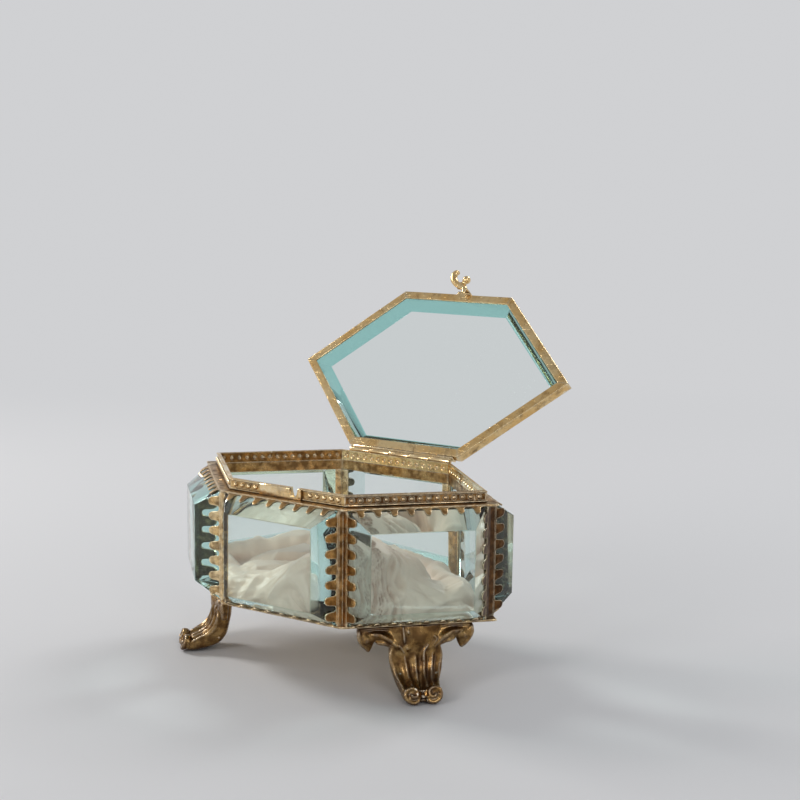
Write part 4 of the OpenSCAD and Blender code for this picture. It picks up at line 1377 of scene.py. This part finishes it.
class CASKET_OT_silk(bpy.types.Operator):
    """Crumpled cream silk, heaped in the front right corner"""
    bl_idname = "casket.silk"
    bl_label = "Silk lining"

    # Puffed folds: points (x, y, height above the base, radius), in millimetres
    FOLDS = (
        ((-33, -6, 0.8, 5.3), (-18, -17, 0.9, 5.3), (-4, -19, 3.4, 6.3), (6, -19, 8.6, 7.0)),
        ((-34, 4, 2.5, 5.0), (-14, 18, 2.2, 5.0), (12, 18, 2.0, 5.0), (30, 8, 2.5, 5.0)),
        ((-24, 0, 2.0, 5.2), (-6, 6, 2.4, 5.2), (14, 8, 2.0, 5.0)),
        ((-20, -10, 2.2, 5.0), (0, -6, 3.2, 6.0), (14, -6, 5.0, 6.5)),
        ((-2, -20, 6.0, 4.6), (6, -16, 9.5, 5.5), (15, -16, 14.0, 7.0)),
        ((15, -17.5, 6.0, 7.5), (16, -17.5, 14.5, 7.2)),
        ((20, -18, 2.0, 3.2), (20.5, -17.5, 10.0, 3.2), (21.5, -15, 16.0, 3.6),
         (18, -15, 17.5, 4.0)),
        ((21, -14, 15.0, 4.0), (24.5, -10.5, 12.5, 3.6), (27, -6.5, 9.5, 3.4),
         (25, -1, 6.0, 3.6)),
        ((23, -12, 4.0, 6.0), (27, -8, 4.6, 6.6), (30, -5, 3.6, 6.0)),
        ((33, -1, 3.0, 5.6), (35, 1, 3.2, 5.2), (33, 4, 2.0, 4.6)),
        ((18, -20, 1.2, 3.6), (28, -10, 1.0, 3.6), (37, -1, 1.0, 3.6)),
        ((-19, -21, 1.0, 3.6), (0, -21.5, 1.0, 3.8), (15, -21, 1.0, 3.6)),
    )
    PINCH = (19.5, -19.0, 15.0)  # where the gathers meet, in millimetres
    CLOTH = 0.0012  # thickness

    def execute(self, context):
        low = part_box("silk_lining")[0].z
        mesh = finished(self.skin(low), [
            ("REMESH", {"mode": "VOXEL", "voxel_size": 0.00045, "use_smooth_shade": True}),
            ("SMOOTH", {"factor": 0.5, "iterations": 3})])
        self.gather(mesh, low)
        self.keep_inside(mesh, low)
        made = piece("silk_crumpled", mesh, finish_named("cream_silk"), "body",
                     ["silk_lining"], smooth=0)
        return {"FINISHED"}

    def skin(self, low):
        """A closed form under the rounded tops of all the folds."""
        step, wall = 0.0005, 0.0011
        rows = []
        for fold in self.FOLDS:
            middles = curve_through([(x, y, z) for x, y, z, r in fold], 7)
            radii = curve_through([(r, 0, 0) for x, y, z, r in fold], 7)
            rows += [(*p, r.x) for p, r in zip(middles, radii)]
        x0, y0, z0, r0 = (numpy.array(rows) * MM).T
        across = numpy.arange(-93, 94) * step
        deep = numpy.arange(-55, 56) * step
        xs, ys = numpy.meshgrid(across, deep, indexing="ij")
        inside = numpy.array([[clear_of_walls(x, y, -wall) > 0 for y in deep]
                              for x in across])
        top = numpy.zeros(xs.shape)
        for x, y, z, r in zip(x0, y0, z0, r0):
            free = numpy.maximum(r * r - (xs - x) ** 2 - (ys - y) ** 2, 0)
            top = numpy.maximum(top, numpy.where(free > 0, z + numpy.sqrt(free), 0))
        slack = top.copy()
        for _ in range(14):
            slack = sum(numpy.roll(slack, (i, j), (0, 1)) for i, j in (
                (0, 0), (2, 0), (-2, 0), (0, 2), (0, -2), (1, 1), (-1, -1))) / 7
        top = numpy.maximum(numpy.maximum(top, slack * 0.9), self.CLOTH)
        top = numpy.where(inside, top, 0)
        under = top.copy()
        for i in range(-3, 4):
            for j in range(-3, 4):
                if i * i + j * j < 11:
                    under = numpy.minimum(under, numpy.roll(top, (i, j), (0, 1)))
        under = numpy.maximum(under - self.CLOTH, 0)
        bm = bmesh.new()
        upper, lower = {}, {}
        for i, j in numpy.argwhere(inside):
            p = Vector((xs[i, j], ys[i, j], low))
            upper[i, j] = bm.verts.new(p + Vector((0, 0, top[i, j])))
            lower[i, j] = bm.verts.new(p + Vector((0, 0, under[i, j])))
        for (i, j) in upper:
            ring = [(i, j), (i + 1, j), (i + 1, j + 1), (i, j + 1)]
            if all(q in upper for q in ring):
                bm.faces.new([upper[q] for q in ring])
                bm.faces.new([lower[q] for q in reversed(ring)])
        pairs = {v: lower[q] for q, v in upper.items()}
        for edge in [e for e in bm.edges if e.is_boundary and e.verts[0] in pairs]:
            one, two = edge.verts
            bm.faces.new((one, two, pairs[two], pairs[one]))
        loose = [v for v in bm.verts if not v.link_faces]
        bmesh.ops.delete(bm, geom=loose, context="VERTS")
        bmesh.ops.recalc_face_normals(bm, faces=bm.faces)
        return bm

    def gather(self, mesh, low):
        """Soft wrinkles, and fine gathers that run out from the pinch of the heap."""
        pinch = Vector(self.PINCH) * MM + Vector((0, 0, low))
        normals = [v.normal.copy() for v in mesh.vertices]
        for v, normal in zip(mesh.vertices, normals):
            q = v.co + wander(v.co, 70, 1.0) * 0.004
            ray = q - pinch
            turn = math.atan2(ray.y, ray.x)
            far = ray.length
            lines = abs(noise.noise(Vector((turn * 6.0, ray.z * 70, far * 34)))) * 2.0
            thin = abs(noise.noise(Vector((turn * 20.0, ray.z * 140, far * 40 + 5)))) * 2
            wide = abs(noise.noise(q * 62)) * 2.0
            ridge = max(0, 1 - abs(noise.noise(q * 88 + Vector((7, 3, 1)))) * 2.6)
            small = 1 - abs(noise.noise(q * 190)) * 2.0
            fade = min(1, far / 0.006)
            under = min(1, max(0, -normal.z * 2 - 0.6))
            # Broad dents, ridges, gathers, crinkle and threads about a middle height
            v.co += normal * (1 - under) * (
                0.0009 * wide + 0.0010 * ridge ** 1.4 + 0.0009 * lines * fade
                + 0.0003 * small + 0.0003 * thin * fade - 0.0016)
            v.co.z -= 0.003 * under

    @staticmethod
    def keep_inside(mesh, low):
        """Brings every point back inside the space that the silk may take."""
        bm = bmesh.new()
        bm.from_mesh(frame["nodes"]["silk_lining"].data)
        tree = BVHTree.FromBMesh(bm)
        bm.free()
        for v in mesh.vertices:
            v.co.z = max(v.co.z, low + 0.00003)
            near, normal, _, far = tree.find_nearest(v.co)
            if (v.co - near).dot(normal) > 0:
                v.co = near - normal * 0.00003


class CASKET_OT_base(bpy.types.Operator):
    """Finishes the base plate, which the silk hides"""
    bl_idname = "casket.base"
    bl_label = "Base plate"

    def execute(self, context):
        node = frame["nodes"]["base_plate"]
        tone = finish_named("worn_gilt")
        if node.material_slots:
            node.material_slots[0].material = tone
        else:
            node.data.materials.append(tone)
        return {"FINISHED"}


STEPS = (CASKET_OT_stage, CASKET_OT_base, CASKET_OT_glass, CASKET_OT_rails, CASKET_OT_posts,
         CASKET_OT_gallery, CASKET_OT_feet, CASKET_OT_hinge, CASKET_OT_lid_frame,
         CASKET_OT_clasp, CASKET_OT_silk)


class CASKET_PT_panel(bpy.types.Panel):
    """Lists the casket's pieces, sizes and colours"""
    bl_idname = "CASKET_PT_panel"
    bl_label = "Casket"
    bl_space_type = "VIEW_3D"
    bl_region_type = "UI"
    bl_category = "Casket"

    def draw(self, context):
        for step in STEPS:
            self.layout.operator(step.bl_idname)
        for group in (context.scene.casket_sizes, context.scene.casket_colours):
            part = self.layout.box()
            for name in group.__annotations__:
                part.prop(group, name)


def register():
    for made in (CasketSizes, CasketColours, *STEPS, CASKET_PT_panel):
        bpy.utils.register_class(made)
    bpy.types.Scene.casket_sizes = PointerProperty(type=CasketSizes)
    bpy.types.Scene.casket_colours = PointerProperty(type=CasketColours)


def unregister():
    del bpy.types.Scene.casket_colours
    del bpy.types.Scene.casket_sizes
    for made in reversed((CasketSizes, CasketColours, *STEPS, CASKET_PT_panel)):
        bpy.utils.unregister_class(made)


def main():
    register()
    for step in STEPS:
        group, name = step.bl_idname.split(".")
        getattr(getattr(bpy.ops, group), name)()


if __name__ == "__main__":
    main()
